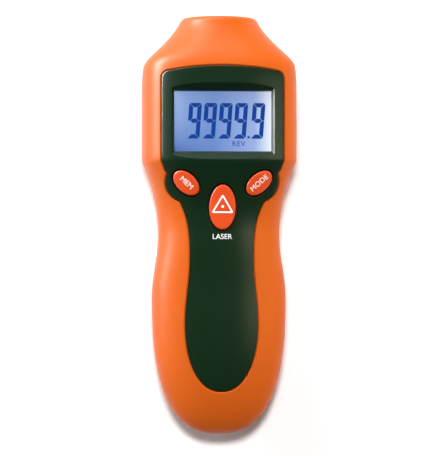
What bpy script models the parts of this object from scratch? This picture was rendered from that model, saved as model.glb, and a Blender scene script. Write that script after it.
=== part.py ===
# Handheld photo tachometer, lying on its back.
# X runs across it, +Y points to the nose that the beam leaves, +Z out of the face with the display.
# The origin is on the surface it lies on, under the middle of its length and width.
import math

import bmesh
import bpy
from mathutils import Vector

# Body
NOSE_LENGTH = 0.0171
HEAD_LENGTH = 0.0381
NECK_LENGTH = 0.0280
WAIST_LENGTH = 0.0243
TAIL_LENGTH = 0.0525
HEAD_WIDTH = 0.0592
WAIST_WIDTH = 0.0465
GRIP_WIDTH = 0.0514
NOSE_WIDTH = 0.0293
HEAD_THICKNESS = 0.0425
WAIST_THICKNESS = 0.0358
GRIP_THICKNESS = 0.0348
PARTING_HEIGHT = 0.0200
WALL = 0.0024
NOSE_EDGE = 0.0018
REST_SAG = 0.0005
GAP = 0.0003

# Fullness of the sections: 2 is an ellipse, more is squarer
HEAD_POWER = 3.3
GRIP_POWER = 2.6
REAR_POWER = 3.0
NOSE_POWER = 2.0
TAIL_POWER = 2.55
SHOULDER_POWER = 1.42
CORNER_SOFTNESS = 0.0002
SHOULDER_SOFTNESS = 0.0013

# Dark face panel
PANEL_DROP = 0.0002
PANEL_THICKNESS = 0.0010
PANEL_SIDE_MARGIN = 0.0064
PANEL_TOP_MARGIN = 0.0023
PANEL_BOTTOM_MARGIN = 0.0171
PANEL_TOP_BOW = 0.0018
PANEL_CORNER = 0.0030
PANEL_SLOPE_WIDTH = 0.0018
PANEL_SLOPE_LENGTH = 0.0047
PANEL_LOBE_MARGIN = 0.0018
PANEL_LOBE_RISE = 0.0006
PANEL_LOBE_END = 72.0
PANEL_WAIST_WIDTH = 0.0243
PANEL_WAIST_SHIFT = 0.0093
PANEL_GRIP_WIDTH = 0.0278
PANEL_GRIP_SHIFT = 0.0092
PANEL_TAIL_POWER = 2.2

# Display
VIEW_SIDE_MARGIN = 0.0048
VIEW_TOP_MARGIN = 0.0117
VIEW_BOTTOM_MARGIN = 0.0035
VIEW_DEPTH = 0.0033
VIEW_FRAME = 0.0034
WINDOW_THICKNESS = 0.0010
LCD_THICKNESS = 0.0022
LCD_BORDER = 0.0020
ZEBRA_WIDTH = 0.0020

# Keys
SIDE_KEY_SPACING = 0.00855
SIDE_KEY_DROP = 0.0085
SIDE_KEY_LENGTH = 0.0119
SIDE_KEY_WIDTH = 0.0075
SIDE_KEY_TURN = 42.0
MEASURE_KEY_DROP = 0.0091
MEASURE_KEY_LENGTH = 0.0174
MEASURE_KEY_WIDTH = 0.0105
KEY_RISE = 0.0010
KEY_RIM = 0.0007
KEY_CROWN = 0.00025
KEY_CROWN_SHARE = 0.4
KEY_CLEARANCE = 0.0004
KEY_FLANGE = 0.0012
KEY_FLANGE_THICKNESS = 0.0010
KEY_STEM_RADIUS = 0.0016
KEY_TRAVEL = 0.0005

# Main board and what it carries
BOARD_DEPTH = 0.0062
BOARD_THICKNESS = 0.0016
BOARD_HEAD_CLEARANCE = 0.00155
BOARD_NECK_CLEARANCE = 0.0034
BOARD_NECK_MARGIN = 0.0005
BOARD_BOTTOM_MARGIN = 0.0025
SWITCH_SIZE = 0.0060
SWITCH_HEIGHT = 0.0034
SWITCH_WELL = 0.0021
PLUNGER_RADIUS = 0.0017
PLUNGER_HEIGHT = 0.0026
CHIP_SIZE = 0.0100
CHIP_HEIGHT = 0.0014
CHIP_BEVEL = 0.0002
CAPACITOR_RADIUS = 0.0025
CAPACITOR_HEIGHT = 0.0060
CAPACITOR_DROP = 0.0102
CAPACITOR_SPACING = 0.0090
CRYSTAL_LENGTH = 0.0100
CRYSTAL_WIDTH = 0.0040
CRYSTAL_HEIGHT = 0.0030
CRYSTAL_SPACING = 0.0040
CRYSTAL_CORNER = 0.0008

# Optics in the nose
OPTICS_CLEARANCE = 0.0014
OPTICS_WALL = 0.0016
OPTICS_SETBACK = 0.0034
OPTICS_FOOT_WIDTH = 0.0100
OPTICS_FOOT_LENGTH = 0.0035
LASER_RADIUS = 0.0030
LASER_OVERHANG = 0.0010
LASER_LENS_RADIUS = 0.0021
RECEIVER_LENS_THICKNESS = 0.0030
BEZEL_LENGTH = 0.0042
BEZEL_WIDTH = 0.0022
BEZEL_RECESS = 0.0018
BEZEL_SEAT = 0.0010
NOSE_WINDOW_THICKNESS = 0.0012
SENSOR_BOARD_MARGIN = 0.0005
SENSOR_BOARD_THICKNESS = 0.0010
PHOTODIODE_CLEARANCE = 0.0018
PHOTODIODE_LENGTH = 0.0035

# Battery and its door
BATTERY_LENGTH = 0.0464
BATTERY_WIDTH = 0.0265
BATTERY_THICKNESS = 0.0175
BATTERY_TAIL_MARGIN = 0.0178
BATTERY_CORNER = 0.0020
STUD_RADIUS = 0.0029
STUD_HEIGHT = 0.0024
STUD_SPACING = 0.0127
SNAP_THICKNESS = 0.0036
SNAP_WIDTH = 0.0250
SNAP_HEIGHT = 0.0125
SNAP_CORNER = 0.0012
LEAD_DIAMETER = 0.0014
LEAD_SPREAD = 0.0019
DOOR_WIDTH = 0.0284
DOOR_MARGIN = 0.0036
DOOR_SPLIT_Z = 0.0056
DOOR_TONGUE = 0.0012
DOOR_TONGUE_THICKNESS = 0.0010
DOOR_TONGUE_LENGTH = 0.0240
DOOR_TONGUE_START = 0.0022
DOOR_RIB_THICKNESS = 0.0014
DOOR_RIB_WIDTH = 0.0200
DOOR_GROOVE_DEPTH = 0.0005
DOOR_GROOVE_WIDTH = 0.0010
DOOR_GROOVE_PITCH = 0.0022
DOOR_GROOVE_COUNT = 5
DOOR_GRIP_WIDTH = 0.0160
DOOR_GRIP_Y = -0.0200
CRADLE_RIB_SHARES = (0.28, 0.72)
CRADLE_RIB_THICKNESS = 0.0014
CRADLE_RIB_TOP_Z = 0.0180

# Screws
CASE_SCREW_RADIUS = 0.0011
CASE_SCREW_HEAD_RADIUS = 0.0020
CASE_SCREW_HEAD_HEIGHT = 0.0016
CASE_SCREW_SEAT_Z = 0.0080
CASE_SCREW_REACH = 0.0080
CASE_BOSS_RADIUS = 0.0031
HEAD_SCREW_MARGIN = 0.0085
HEAD_SCREW_DROP = 0.0030
WAIST_SCREW_MARGIN = 0.0061
WAIST_SCREW_DROP = 0.0021
BOARD_SCREW_RADIUS = 0.0008
BOARD_SCREW_HEAD_RADIUS = 0.0018
BOARD_SCREW_HEAD_HEIGHT = 0.0012
BOARD_SCREW_REACH = 0.0040
BOARD_BOSS_RADIUS = 0.0018
BOARD_SCREW_MARGIN = 0.0016
BOARD_SCREW_INSET = 0.0045

# How finely round shapes are divided
BODY_SIDES = 14
CAVITY_SIDES = 10
KEY_SIDES = 20
ROUND_SIDES = 20
MEDIUM_SIDES = 16
SMALL_SIDES = 8
TAIL_END_TURN = 88.5

# Where more rings of the body stand, next to the head's lower and upper corners
CORNER_BELOW = 0.0020
CORNER_ABOVE = 0.0010
SHOULDER_BELOW = 0.0055
SHOULDER_ABOVE = 0.0035

# Cutters run this far past what they cut
OVERRUN = 0.0020
FAR = 0.1000

# Places along the length
HALF_LENGTH = (NOSE_LENGTH + HEAD_LENGTH + NECK_LENGTH + WAIST_LENGTH + TAIL_LENGTH) / 2
SHOULDER_Y = HALF_LENGTH - NOSE_LENGTH
HEAD_BOTTOM_Y = SHOULDER_Y - HEAD_LENGTH
WAIST_Y = HEAD_BOTTOM_Y - NECK_LENGTH
GRIP_Y = WAIST_Y - WAIST_LENGTH

# Panel and display
PANEL_HEAD_WIDTH = HEAD_WIDTH - 2 * PANEL_SIDE_MARGIN
PANEL_TOP_Y = SHOULDER_Y - PANEL_TOP_MARGIN
PANEL_CUSP_Y = HEAD_BOTTOM_Y - PANEL_SLOPE_LENGTH
PANEL_WAIST_Y = WAIST_Y - PANEL_WAIST_SHIFT
PANEL_GRIP_Y = GRIP_Y - PANEL_GRIP_SHIFT
PANEL_BOTTOM_Y = PANEL_BOTTOM_MARGIN - HALF_LENGTH
VIEW_WIDTH = PANEL_HEAD_WIDTH - 2 * VIEW_SIDE_MARGIN
VIEW_HEIGHT = HEAD_LENGTH - VIEW_TOP_MARGIN - VIEW_BOTTOM_MARGIN
VIEW_Y = HEAD_BOTTOM_Y + VIEW_BOTTOM_MARGIN + VIEW_HEIGHT / 2

VIEW_FLOOR_Z = HEAD_THICKNESS - PANEL_DROP - VIEW_DEPTH
FRAME_HALF_X = VIEW_WIDTH / 2 + VIEW_FRAME
FRAME_HALF_Y = VIEW_HEIGHT / 2 + VIEW_FRAME
WINDOW_TOP_Z = VIEW_FLOOR_Z - GAP
LCD_TOP_Z = WINDOW_TOP_Z - WINDOW_THICKNESS - GAP
LCD_BOTTOM_Z = LCD_TOP_Z - LCD_THICKNESS

# Keys and board
SIDE_KEY_X = MEASURE_KEY_WIDTH / 2 + SIDE_KEY_SPACING
SIDE_KEY_Y = HEAD_BOTTOM_Y - SIDE_KEY_DROP
MEASURE_KEY_Y = SIDE_KEY_Y - MEASURE_KEY_DROP
PANEL_LOBE_RADIUS = SIDE_KEY_LENGTH / 2 + PANEL_LOBE_MARGIN
PANEL_LOBE_Y = SIDE_KEY_Y + PANEL_LOBE_RISE
BOARD_TOP_Z = WAIST_THICKNESS - WALL - BOARD_DEPTH
BOARD_BOTTOM_Z = BOARD_TOP_Z - BOARD_THICKNESS
BOARD_HEAD_WIDTH = HEAD_WIDTH - 2 * (WALL + BOARD_HEAD_CLEARANCE)
BOARD_NECK_WIDTH = WAIST_WIDTH - 2 * (WALL + BOARD_NECK_CLEARANCE)
BOARD_TOP_Y = VIEW_Y + FRAME_HALF_Y
BOARD_NECK_Y = HEAD_BOTTOM_Y + BOARD_NECK_MARGIN
BOARD_BOTTOM_Y = WAIST_Y + BOARD_BOTTOM_MARGIN

# Optics: the receiver takes the room that the laser leaves in the holder
OPTICS_RADIUS = NOSE_WIDTH / 2 - WALL - OPTICS_CLEARANCE
OPTICS_END_Y = HALF_LENGTH - BEZEL_RECESS - BEZEL_LENGTH
OPTICS_START_Y = SHOULDER_Y - OPTICS_SETBACK
LASER_LENGTH = OPTICS_END_Y - OPTICS_START_Y + LASER_OVERHANG
RECEIVER_RADIUS = (2 * OPTICS_RADIUS - 3 * OPTICS_WALL - 4 * GAP) / 2 - LASER_RADIUS
LASER_Z = PARTING_HEIGHT + OPTICS_RADIUS - OPTICS_WALL - GAP - LASER_RADIUS
RECEIVER_Z = PARTING_HEIGHT - OPTICS_RADIUS + OPTICS_WALL + GAP + RECEIVER_RADIUS

# Battery and door
BATTERY_HEAD_Y = BATTERY_TAIL_MARGIN + BATTERY_LENGTH - HALF_LENGTH
BATTERY_BOTTOM_Z = DOOR_SPLIT_Z + GAP
DOOR_TOP_Y = BATTERY_HEAD_Y + DOOR_MARGIN


def clear_scene():
    for item in list(bpy.data.objects):
        bpy.data.objects.remove(item)


def material(name, colour, roughness, metallic=0.0, alpha=1.0):
    finish = bpy.data.materials.get(name) or bpy.data.materials.new(name)
    finish.use_nodes = True
    shader = finish.node_tree.nodes["Principled BSDF"]
    shader.inputs["Base Color"].default_value = (*colour, 1.0)
    shader.inputs["Roughness"].default_value = roughness
    shader.inputs["Metallic"].default_value = metallic
    shader.inputs["Alpha"].default_value = alpha
    return finish


def add_object(name, form, finish=None):
    """Turn a bmesh into a named object."""
    bmesh.ops.recalc_face_normals(form, faces=form.faces)
    mesh = bpy.data.meshes.new(name)
    form.to_mesh(mesh)
    form.free()
    item = bpy.data.objects.new(name, mesh)
    bpy.context.scene.collection.objects.link(item)
    if finish:
        mesh.materials.append(finish)
    return item


def loft(name, rings, finish=None, flat_faces=True):
    """Skin a row of closed rings and cap both ends. Twisted sides are split into triangles."""
    form = bmesh.new()
    rows = [[form.verts.new(point) for point in ring] for ring in rings]
    count = len(rows[0])
    for low, high in zip(rows, rows[1:]):
        for i in range(count):
            j = (i + 1) % count
            form.faces.new((low[i], low[j], high[j], high[i]))
    form.faces.new(reversed(rows[0]))
    form.faces.new(rows[-1])
    if not flat_faces:
        bmesh.ops.triangulate(form, faces=[face for face in form.faces if len(face.verts) == 4])
    return add_object(name, form, finish)


def prism(name, outline, low, high, finish=None):
    """Extrude an outline in X and Y between two heights."""
    rings = [[Vector((x, y, z)) for x, y in outline] for z in (low, high)]
    return loft(name, rings, finish)


def block(name, x, y, z, finish=None):
    """A box between two values on each axis."""
    outline = [(x[0], y[0]), (x[1], y[0]), (x[1], y[1]), (x[0], y[1])]
    return prism(name, outline, z[0], z[1], finish)


def turned(name, profile, axis, place, sides, finish=None):
    """A solid turned about an axis through a place. The profile gives (distance, radius) pairs."""
    across = axis.orthogonal().normalized()
    other = axis.cross(across)
    rings = []
    for along, radius in profile:
        centre = place + axis * along
        turn = [2 * math.pi * i / sides for i in range(sides)]
        rings.append([centre + (across * math.cos(a) + other * math.sin(a)) * radius for a in turn])
    return loft(name, rings, finish)


def post(name, x, y, z, radius, sides=SMALL_SIDES, finish=None):
    """An upright round post between two heights."""
    profile = [(z[0], radius), (z[1], radius)]
    return turned(name, profile, Vector((0, 0, 1)), Vector((x, y, 0)), sides, finish)


def rod(name, z, y, radius, sides=ROUND_SIDES, finish=None):
    """A round rod along Y, in the middle of the width, between two stations."""
    profile = [(y[0], radius), (y[1], radius)]
    return turned(name, profile, Vector((0, 1, 0)), Vector((0, 0, z)), sides, finish)


def combine(target, tool, operation):
    """Join, cut or intersect two solids and use up the second."""
    step = target.modifiers.new(tool.name, "BOOLEAN")
    step.object = tool
    step.operation = operation
    step.solver = "EXACT"
    bpy.context.view_layer.objects.active = target
    bpy.ops.object.modifier_apply(modifier=step.name)
    bpy.data.objects.remove(tool)
    return target


def cut(target, tool):
    return combine(target, tool, "DIFFERENCE")


def join(target, tool):
    return combine(target, tool, "UNION")


def keep_inside(target, tool):
    return combine(target, tool, "INTERSECT")


def soften(item, width, segments=1, angle=30.0):
    step = item.modifiers.new("edges", "BEVEL")
    step.width = width
    step.segments = segments
    step.limit_method = "ANGLE"
    step.angle_limit = math.radians(angle)
    bpy.context.view_layer.objects.active = item
    bpy.ops.object.modifier_apply(modifier=step.name)
    return item


def merge_flat(item, angle=0.2):
    """Merge neighbouring faces that lie in one plane."""
    form = bmesh.new()
    form.from_mesh(item.data)
    limit = math.radians(angle)
    bmesh.ops.dissolve_limit(form, angle_limit=limit, verts=form.verts, edges=form.edges)
    form.to_mesh(item.data)
    form.free()
    return item


def smooth_shade(item, angle=30.0):
    item.data.shade_smooth()
    item.data.set_sharp_from_angle(angle=math.radians(angle))
    return item


# Form of the body


def arch(t, power):
    """Height of a unit superellipse at t of its half-span."""
    return max(0.0, 1.0 - min(abs(t), 1.0) ** power) ** (1.0 / power)


def ease(a, b, t):
    """Go from a to b along half a cosine wave."""
    t = min(max(t, 0.0), 1.0)
    return a + (b - a) * (1.0 - math.cos(math.pi * t)) / 2.0


def soft_min(a, b, softness):
    return (a + b) / 2.0 - math.sqrt(((a - b) / 2.0) ** 2 + softness ** 2)


def flare(y, nose, head):
    """The concave shoulder that runs from the nose's rounded edge out to the head."""
    back = max(0.0, HALF_LENGTH - y)
    edge = NOSE_EDGE * (1.0 - arch(max(0.0, 1.0 - back / NOSE_EDGE), 2.0))
    return nose + (head - nose) * (back / NOSE_LENGTH) ** SHOULDER_POWER - edge


def neck(y, waist, head):
    """The hollow sweep from the waist up to the head's lower corner."""
    t = max(0.0, (y - WAIST_Y) / (HEAD_BOTTOM_Y - WAIST_Y))
    return waist + (head - waist) * t * t


def lengthwise(y, inset, nose, head, waist, grip):
    """Follow one measure of the body along its length, drawn in by an inset."""
    if y <= GRIP_Y:
        reach = GRIP_Y + HALF_LENGTH - inset
        return (grip - inset) * arch((GRIP_Y - y) / reach, TAIL_POWER)
    if y <= WAIST_Y:
        return ease(waist, grip, (WAIST_Y - y) / (WAIST_Y - GRIP_Y)) - inset
    lower = soft_min(neck(y, waist, head), head, CORNER_SOFTNESS)
    return soft_min(lower, flare(y, nose, head), SHOULDER_SOFTNESS) - inset


def half_width(y, inset=0.0):
    return lengthwise(y, inset, NOSE_WIDTH / 2, HEAD_WIDTH / 2, WAIST_WIDTH / 2, GRIP_WIDTH / 2)


def front_rise(y, inset=0.0):
    """Height of the face over the parting plane."""
    head = HEAD_THICKNESS - PARTING_HEIGHT
    waist = WAIST_THICKNESS - PARTING_HEIGHT
    grip = GRIP_THICKNESS - PARTING_HEIGHT
    return lengthwise(y, inset, NOSE_WIDTH / 2, head, waist, grip)


def rear_drop(y, inset=0.0):
    """Depth of the back under the parting plane, a little more than the flat that it lies on."""
    deep = PARTING_HEIGHT + REST_SAG
    if y <= GRIP_Y:
        reach = GRIP_Y + HALF_LENGTH - inset
        return (deep - inset) * arch((GRIP_Y - y) / reach, REAR_POWER)
    return soft_min(deep, flare(y, NOSE_WIDTH / 2, deep), SHOULDER_SOFTNESS) - inset


def section_power(y, full):
    """Squareness of the section, which falls to round at the nose."""
    return ease(full, NOSE_POWER, (y - SHOULDER_Y) / NOSE_LENGTH)


def front_power(y):
    full = ease(GRIP_POWER, HEAD_POWER, (y - WAIST_Y) / (HEAD_BOTTOM_Y - WAIST_Y))
    return section_power(y, full)


def face_z(x, y, inset=0.0):
    """Height of the face at a place, drawn in by an inset."""
    return PARTING_HEIGHT + front_rise(y, inset) * arch(x / half_width(y, inset), front_power(y))


def stations(inset, coarse):
    """Where the rings of the body stand along its length."""
    share = 2 if coarse else 1
    reach = GRIP_Y + HALF_LENGTH - inset
    tail_steps = 8 // share
    turns = [math.radians(TAIL_END_TURN * i / tail_steps) for i in range(tail_steps, 0, -1)]
    rows = [GRIP_Y - reach * math.sin(turn) for turn in turns]
    stretches = [
        (GRIP_Y, WAIST_Y, 4 // share),
        (WAIST_Y, HEAD_BOTTOM_Y - CORNER_BELOW, 6 // share),
        (HEAD_BOTTOM_Y - CORNER_BELOW, HEAD_BOTTOM_Y + CORNER_ABOVE, 3 // share),
        (HEAD_BOTTOM_Y + CORNER_ABOVE, SHOULDER_Y - SHOULDER_BELOW, 2 // share),
        (SHOULDER_Y - SHOULDER_BELOW, SHOULDER_Y + SHOULDER_ABOVE, 5 // share),
        (SHOULDER_Y + SHOULDER_ABOVE, HALF_LENGTH - NOSE_EDGE, 4 // share),
    ]
    for start, end, steps in stretches:
        rows += [start + (end - start) * i / steps for i in range(steps)]
    edge_steps = 4 // share
    leans = [math.pi / 2 * i / edge_steps for i in range(edge_steps + 1)]
    rows += [HALF_LENGTH - NOSE_EDGE * (1 - math.sin(lean)) for lean in leans]
    return rows + [HALF_LENGTH + OVERRUN] if inset else rows


def half_body(name, side, inset=0.0, base=PARTING_HEIGHT, coarse=False, finish=None):
    """One half of the body as a closed solid, drawn in by an inset. Side is 1 in front, -1 behind."""
    sides = CAVITY_SIDES if coarse else BODY_SIDES
    rings = []
    for y in stations(inset, coarse):
        width = half_width(y, inset)
        rise = front_rise(y, inset) if side > 0 else rear_drop(y, inset)
        power = front_power(y) if side > 0 else section_power(y, REAR_POWER)
        ring = []
        for i in range(sides + 1):
            turn = math.pi * i / sides
            across, up = math.cos(turn), math.sin(turn)
            x = math.copysign(width * abs(across) ** (2 / power), across)
            z = base + side * rise * max(up, 0.0) ** (2 / power)
            ring.append(Vector((x, y, max(z, inset) if side < 0 else z)))
        rings.append(ring)
    return loft(name, rings, finish, flat_faces=False)


# Outlines seen from the front


def panel_strip(y, grow):
    """Half-width of the panel below the side keys."""
    if y <= PANEL_GRIP_Y:
        reach = PANEL_GRIP_Y - PANEL_BOTTOM_Y + grow
        return (PANEL_GRIP_WIDTH / 2 + grow) * arch((PANEL_GRIP_Y - y) / reach, PANEL_TAIL_POWER)
    if y <= PANEL_WAIST_Y:
        t = (PANEL_WAIST_Y - y) / (PANEL_WAIST_Y - PANEL_GRIP_Y)
        return ease(PANEL_WAIST_WIDTH / 2, PANEL_GRIP_WIDTH / 2, t) + grow
    join_y = PANEL_LOBE_Y - PANEL_LOBE_RADIUS * math.sin(math.radians(PANEL_LOBE_END))
    join_x = SIDE_KEY_X + PANEL_LOBE_RADIUS * math.cos(math.radians(PANEL_LOBE_END))
    t = (y - PANEL_WAIST_Y) / (join_y - PANEL_WAIST_Y)
    return PANEL_WAIST_WIDTH / 2 + (join_x - PANEL_WAIST_WIDTH / 2) * t ** 3 + grow


def panel_outline(grow=0.0):
    """The panel's edge, grown by a clearance."""
    half = PANEL_HEAD_WIDTH / 2
    corner_x = half - PANEL_CORNER
    start = math.pi / 2 - math.atan(2 * PANEL_TOP_BOW / corner_x)
    bow_end = corner_x + PANEL_CORNER * math.cos(start)
    corner_y = PANEL_TOP_Y - PANEL_TOP_BOW * (bow_end / corner_x) ** 2 - PANEL_CORNER * math.sin(start)
    right = []
    for i in range(5):
        x = bow_end * i / 5
        right.append((x, PANEL_TOP_Y - PANEL_TOP_BOW * (x / corner_x) ** 2 + grow))
    for i in range(5):
        turn = start * (1 - i / 4)
        radius = PANEL_CORNER + grow
        right.append((corner_x + radius * math.cos(turn), corner_y + radius * math.sin(turn)))
    right.append((half + grow, HEAD_BOTTOM_Y))
    cusp = math.atan2(PANEL_CUSP_Y - PANEL_LOBE_Y, half - PANEL_SLOPE_WIDTH - SIDE_KEY_X)
    end = -math.radians(PANEL_LOBE_END)
    for i in range(8):
        turn = cusp + (end - cusp) * i / 7
        radius = PANEL_LOBE_RADIUS + grow
        right.append((SIDE_KEY_X + radius * math.cos(turn), PANEL_LOBE_Y + radius * math.sin(turn)))
    start_y = right[-1][1]
    for i in range(1, 6):
        y = start_y + (PANEL_WAIST_Y - start_y) * i / 5
        right.append((panel_strip(y, grow), y))
    for i in range(1, 5):
        y = PANEL_WAIST_Y + (PANEL_GRIP_Y - PANEL_WAIST_Y) * i / 4
        right.append((panel_strip(y, grow), y))
    reach = PANEL_GRIP_Y - PANEL_BOTTOM_Y + grow
    for i in range(1, 8):
        y = PANEL_GRIP_Y - reach * math.sin(math.pi / 2 * i / 8)
        right.append((panel_strip(y, grow), y))
    bottom = [(0.0, PANEL_BOTTOM_Y - grow)]
    left = [(-x, y) for x, y in reversed(right) if x > 0]
    return right + bottom + left


def key_outline(centre, length, width, turn, grow=0.0, sides=KEY_SIDES):
    """An ellipse whose long axis is turned from X."""
    angle = math.radians(turn)
    points = []
    for i in range(sides):
        step = 2 * math.pi * i / sides
        along = (length / 2 + grow) * math.cos(step)
        across = (width / 2 + grow) * math.sin(step)
        x = centre[0] + along * math.cos(angle) - across * math.sin(angle)
        y = centre[1] + along * math.sin(angle) + across * math.cos(angle)
        points.append((x, y))
    return points


KEYS = {
    "memory_key": ((-SIDE_KEY_X, SIDE_KEY_Y), SIDE_KEY_LENGTH, SIDE_KEY_WIDTH, -SIDE_KEY_TURN),
    "mode_key": ((SIDE_KEY_X, SIDE_KEY_Y), SIDE_KEY_LENGTH, SIDE_KEY_WIDTH, SIDE_KEY_TURN),
    "measure_key": ((0.0, MEASURE_KEY_Y), MEASURE_KEY_LENGTH, MEASURE_KEY_WIDTH, 90.0),
}


def view_box(name, grow, z):
    x, y = FRAME_HALF_X + grow, FRAME_HALF_Y + grow
    return block(name, (-x, x), (VIEW_Y - y, VIEW_Y + y), z)


# Sub-parts


def make_face_panel(finish):
    panel = half_body("face_panel", 1, PANEL_DROP, finish=finish)
    keep_inside(panel, prism("panel_edge", panel_outline(), PARTING_HEIGHT + OVERRUN, FAR))
    under = half_body("under_panel", 1, PANEL_DROP + PANEL_THICKNESS, coarse=True)
    cut(under, view_box("view_frame", 0.0, (VIEW_FLOOR_Z, FAR)))
    cut(panel, under)
    rings = []
    for depth in (-OVERRUN, VIEW_DEPTH + OVERRUN):
        spread = max(depth, 0.0)
        x, y = VIEW_WIDTH / 2 + spread, VIEW_HEIGHT / 2 + spread
        corners = [(-x, -y), (x, -y), (x, y), (-x, y)]
        rings.append([Vector((cx, VIEW_Y + cy, VIEW_FLOOR_Z + depth)) for cx, cy in corners])
    sill = [Vector((p.x, p.y, VIEW_FLOOR_Z)) for p in rings[0]]
    cut(panel, loft("view_pocket", [rings[0], sill, rings[1]]))
    cut(panel, view_box("window_seat", -GAP, (0.0, VIEW_FLOOR_Z)))
    cut(panel, view_box("frame_room", GAP, (0.0, LCD_TOP_Z + GAP)))
    for name, (centre, length, width, turn) in KEYS.items():
        outline = key_outline(centre, length, width, turn, KEY_CLEARANCE)
        cut(panel, prism(name + "_hole", outline, PARTING_HEIGHT, FAR))
    return smooth_shade(merge_flat(panel))


def add_inside(shell, piece, side):
    """Trim a rib or boss to the wall of its half and join it on."""
    keep_inside(piece, half_body("trim", side, WALL / 2, coarse=True))
    join(shell, piece)


def case_screw_places():
    head = (HEAD_WIDTH / 2 - HEAD_SCREW_MARGIN, SHOULDER_Y - HEAD_SCREW_DROP)
    waist = (WAIST_WIDTH / 2 - WAIST_SCREW_MARGIN, WAIST_Y - WAIST_SCREW_DROP)
    return [(side * x, y) for x, y in (head, waist) for side in (-1, 1)]


def board_screw_places():
    x = BOARD_HEAD_WIDTH / 2 - BOARD_SCREW_MARGIN
    reach = FRAME_HALF_Y - BOARD_SCREW_INSET
    return [(side * x, y) for y in (VIEW_Y - reach, VIEW_Y + reach) for side in (-1, 1)]


def make_front_case(finish):
    base = PARTING_HEIGHT + GAP / 2
    case = half_body("front_case", 1, base=base, finish=finish)
    cut(case, half_body("front_cavity", 1, WALL, coarse=True))
    for x, y in case_screw_places():
        add_inside(case, post("boss", x, y, (base, FAR), CASE_BOSS_RADIUS), 1)
    for x, y in board_screw_places():
        add_inside(case, post("boss", x, y, (BOARD_TOP_Z + GAP, FAR), BOARD_BOSS_RADIUS), 1)
    recess = prism("recess", panel_outline(GAP), PARTING_HEIGHT + OVERRUN, FAR)
    cut(recess, half_body("recess_floor", 1, PANEL_DROP + PANEL_THICKNESS + GAP, coarse=True))
    cut(case, recess)
    cut(case, view_box("view_opening", GAP, (BOARD_TOP_Z, FAR)))
    for name, (centre, length, width, turn) in KEYS.items():
        outline = key_outline(centre, length, width, turn, KEY_CLEARANCE)
        cut(case, prism(name + "_hole", outline, PARTING_HEIGHT, FAR))
    for x, y in case_screw_places():
        top = CASE_SCREW_SEAT_Z + CASE_SCREW_HEAD_HEIGHT + PARTING_HEIGHT
        cut(case, post("pilot", x, y, (0.0, top), CASE_SCREW_RADIUS + GAP))
    for x, y in board_screw_places():
        top = BOARD_TOP_Z + BOARD_SCREW_REACH + GAP
        cut(case, post("pilot", x, y, (BOARD_BOTTOM_Z, top), BOARD_SCREW_RADIUS + GAP))
    return smooth_shade(merge_flat(case))


def make_rear_case(finish):
    base = PARTING_HEIGHT - GAP / 2
    case = half_body("rear_case", -1, base=base, finish=finish)
    cut(case, half_body("rear_cavity", -1, WALL, coarse=True))
    for x, y in case_screw_places():
        add_inside(case, post("boss", x, y, (0.0, base), CASE_BOSS_RADIUS), -1)
    ribs = BATTERY_WIDTH / 2 + GAP
    for y in cradle_ribs():
        span = (y - CRADLE_RIB_THICKNESS / 2, y + CRADLE_RIB_THICKNESS / 2)
        for side in (-1, 1):
            reach = sorted((side * ribs, side * GRIP_WIDTH / 2))
            z = (DOOR_SPLIT_Z + GAP * 2, CRADLE_RIB_TOP_Z)
            add_inside(case, block("rib", reach, span, z), -1)
    half = DOOR_WIDTH / 2 + GAP
    cut(case, block("door_opening", (-half, half), (-FAR, DOOR_TOP_Y + GAP), (-FAR, DOOR_SPLIT_Z + GAP)))
    groove = half + DOOR_TONGUE
    low, high = tongue_heights()
    cut(case, block("groove", (-groove, groove), (-FAR, tongue_top_y() + GAP), (low - GAP, high + GAP)))
    for x, y in case_screw_places():
        cut(case, post("through", x, y, (-FAR, FAR), CASE_SCREW_RADIUS + GAP))
        cut(case, post("counterbore", x, y, (-FAR, CASE_SCREW_SEAT_Z), CASE_SCREW_HEAD_RADIUS + GAP))
    return smooth_shade(merge_flat(case))


def cradle_ribs():
    low = BATTERY_HEAD_Y - BATTERY_LENGTH
    return [low + BATTERY_LENGTH * share for share in CRADLE_RIB_SHARES]


def tongue_heights():
    high = DOOR_SPLIT_Z - GAP
    return high - DOOR_TONGUE_THICKNESS, high


def tongue_top_y():
    return DOOR_TOP_Y - DOOR_TONGUE_START


def make_battery_door(finish):
    half = DOOR_WIDTH / 2
    door = half_body("battery_door", -1, finish=finish)
    keep_inside(door, block("door_edge", (-half, half), (-FAR, DOOR_TOP_Y), (-FAR, DOOR_SPLIT_Z)))
    cut(door, half_body("door_cavity", -1, WALL, coarse=True))
    low, high = tongue_heights()
    y = (tongue_top_y() - DOOR_TONGUE_LENGTH, tongue_top_y())
    inner = half - DOOR_TONGUE
    for side in (-1, 1):
        web = block("web", sorted((side * inner, side * half)), y, (WALL / 2, high))
        join(door, web)
        tongue = block("tongue", sorted((side * inner, side * (half + DOOR_TONGUE))), y, (low, high))
        join(door, tongue)
    for y in cradle_ribs():
        span = (y - DOOR_RIB_THICKNESS / 2, y + DOOR_RIB_THICKNESS / 2)
        wide = (-DOOR_RIB_WIDTH / 2, DOOR_RIB_WIDTH / 2)
        join(door, block("door_rib", wide, span, (WALL / 2, DOOR_SPLIT_Z)))
    for i in range(DOOR_GROOVE_COUNT):
        y = DOOR_GRIP_Y - i * DOOR_GROOVE_PITCH
        wide = (-DOOR_GRIP_WIDTH / 2, DOOR_GRIP_WIDTH / 2)
        cut(door, block("grip_groove", wide, (y - DOOR_GROOVE_WIDTH, y), (-FAR, DOOR_GROOVE_DEPTH)))
    return smooth_shade(merge_flat(door))


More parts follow.
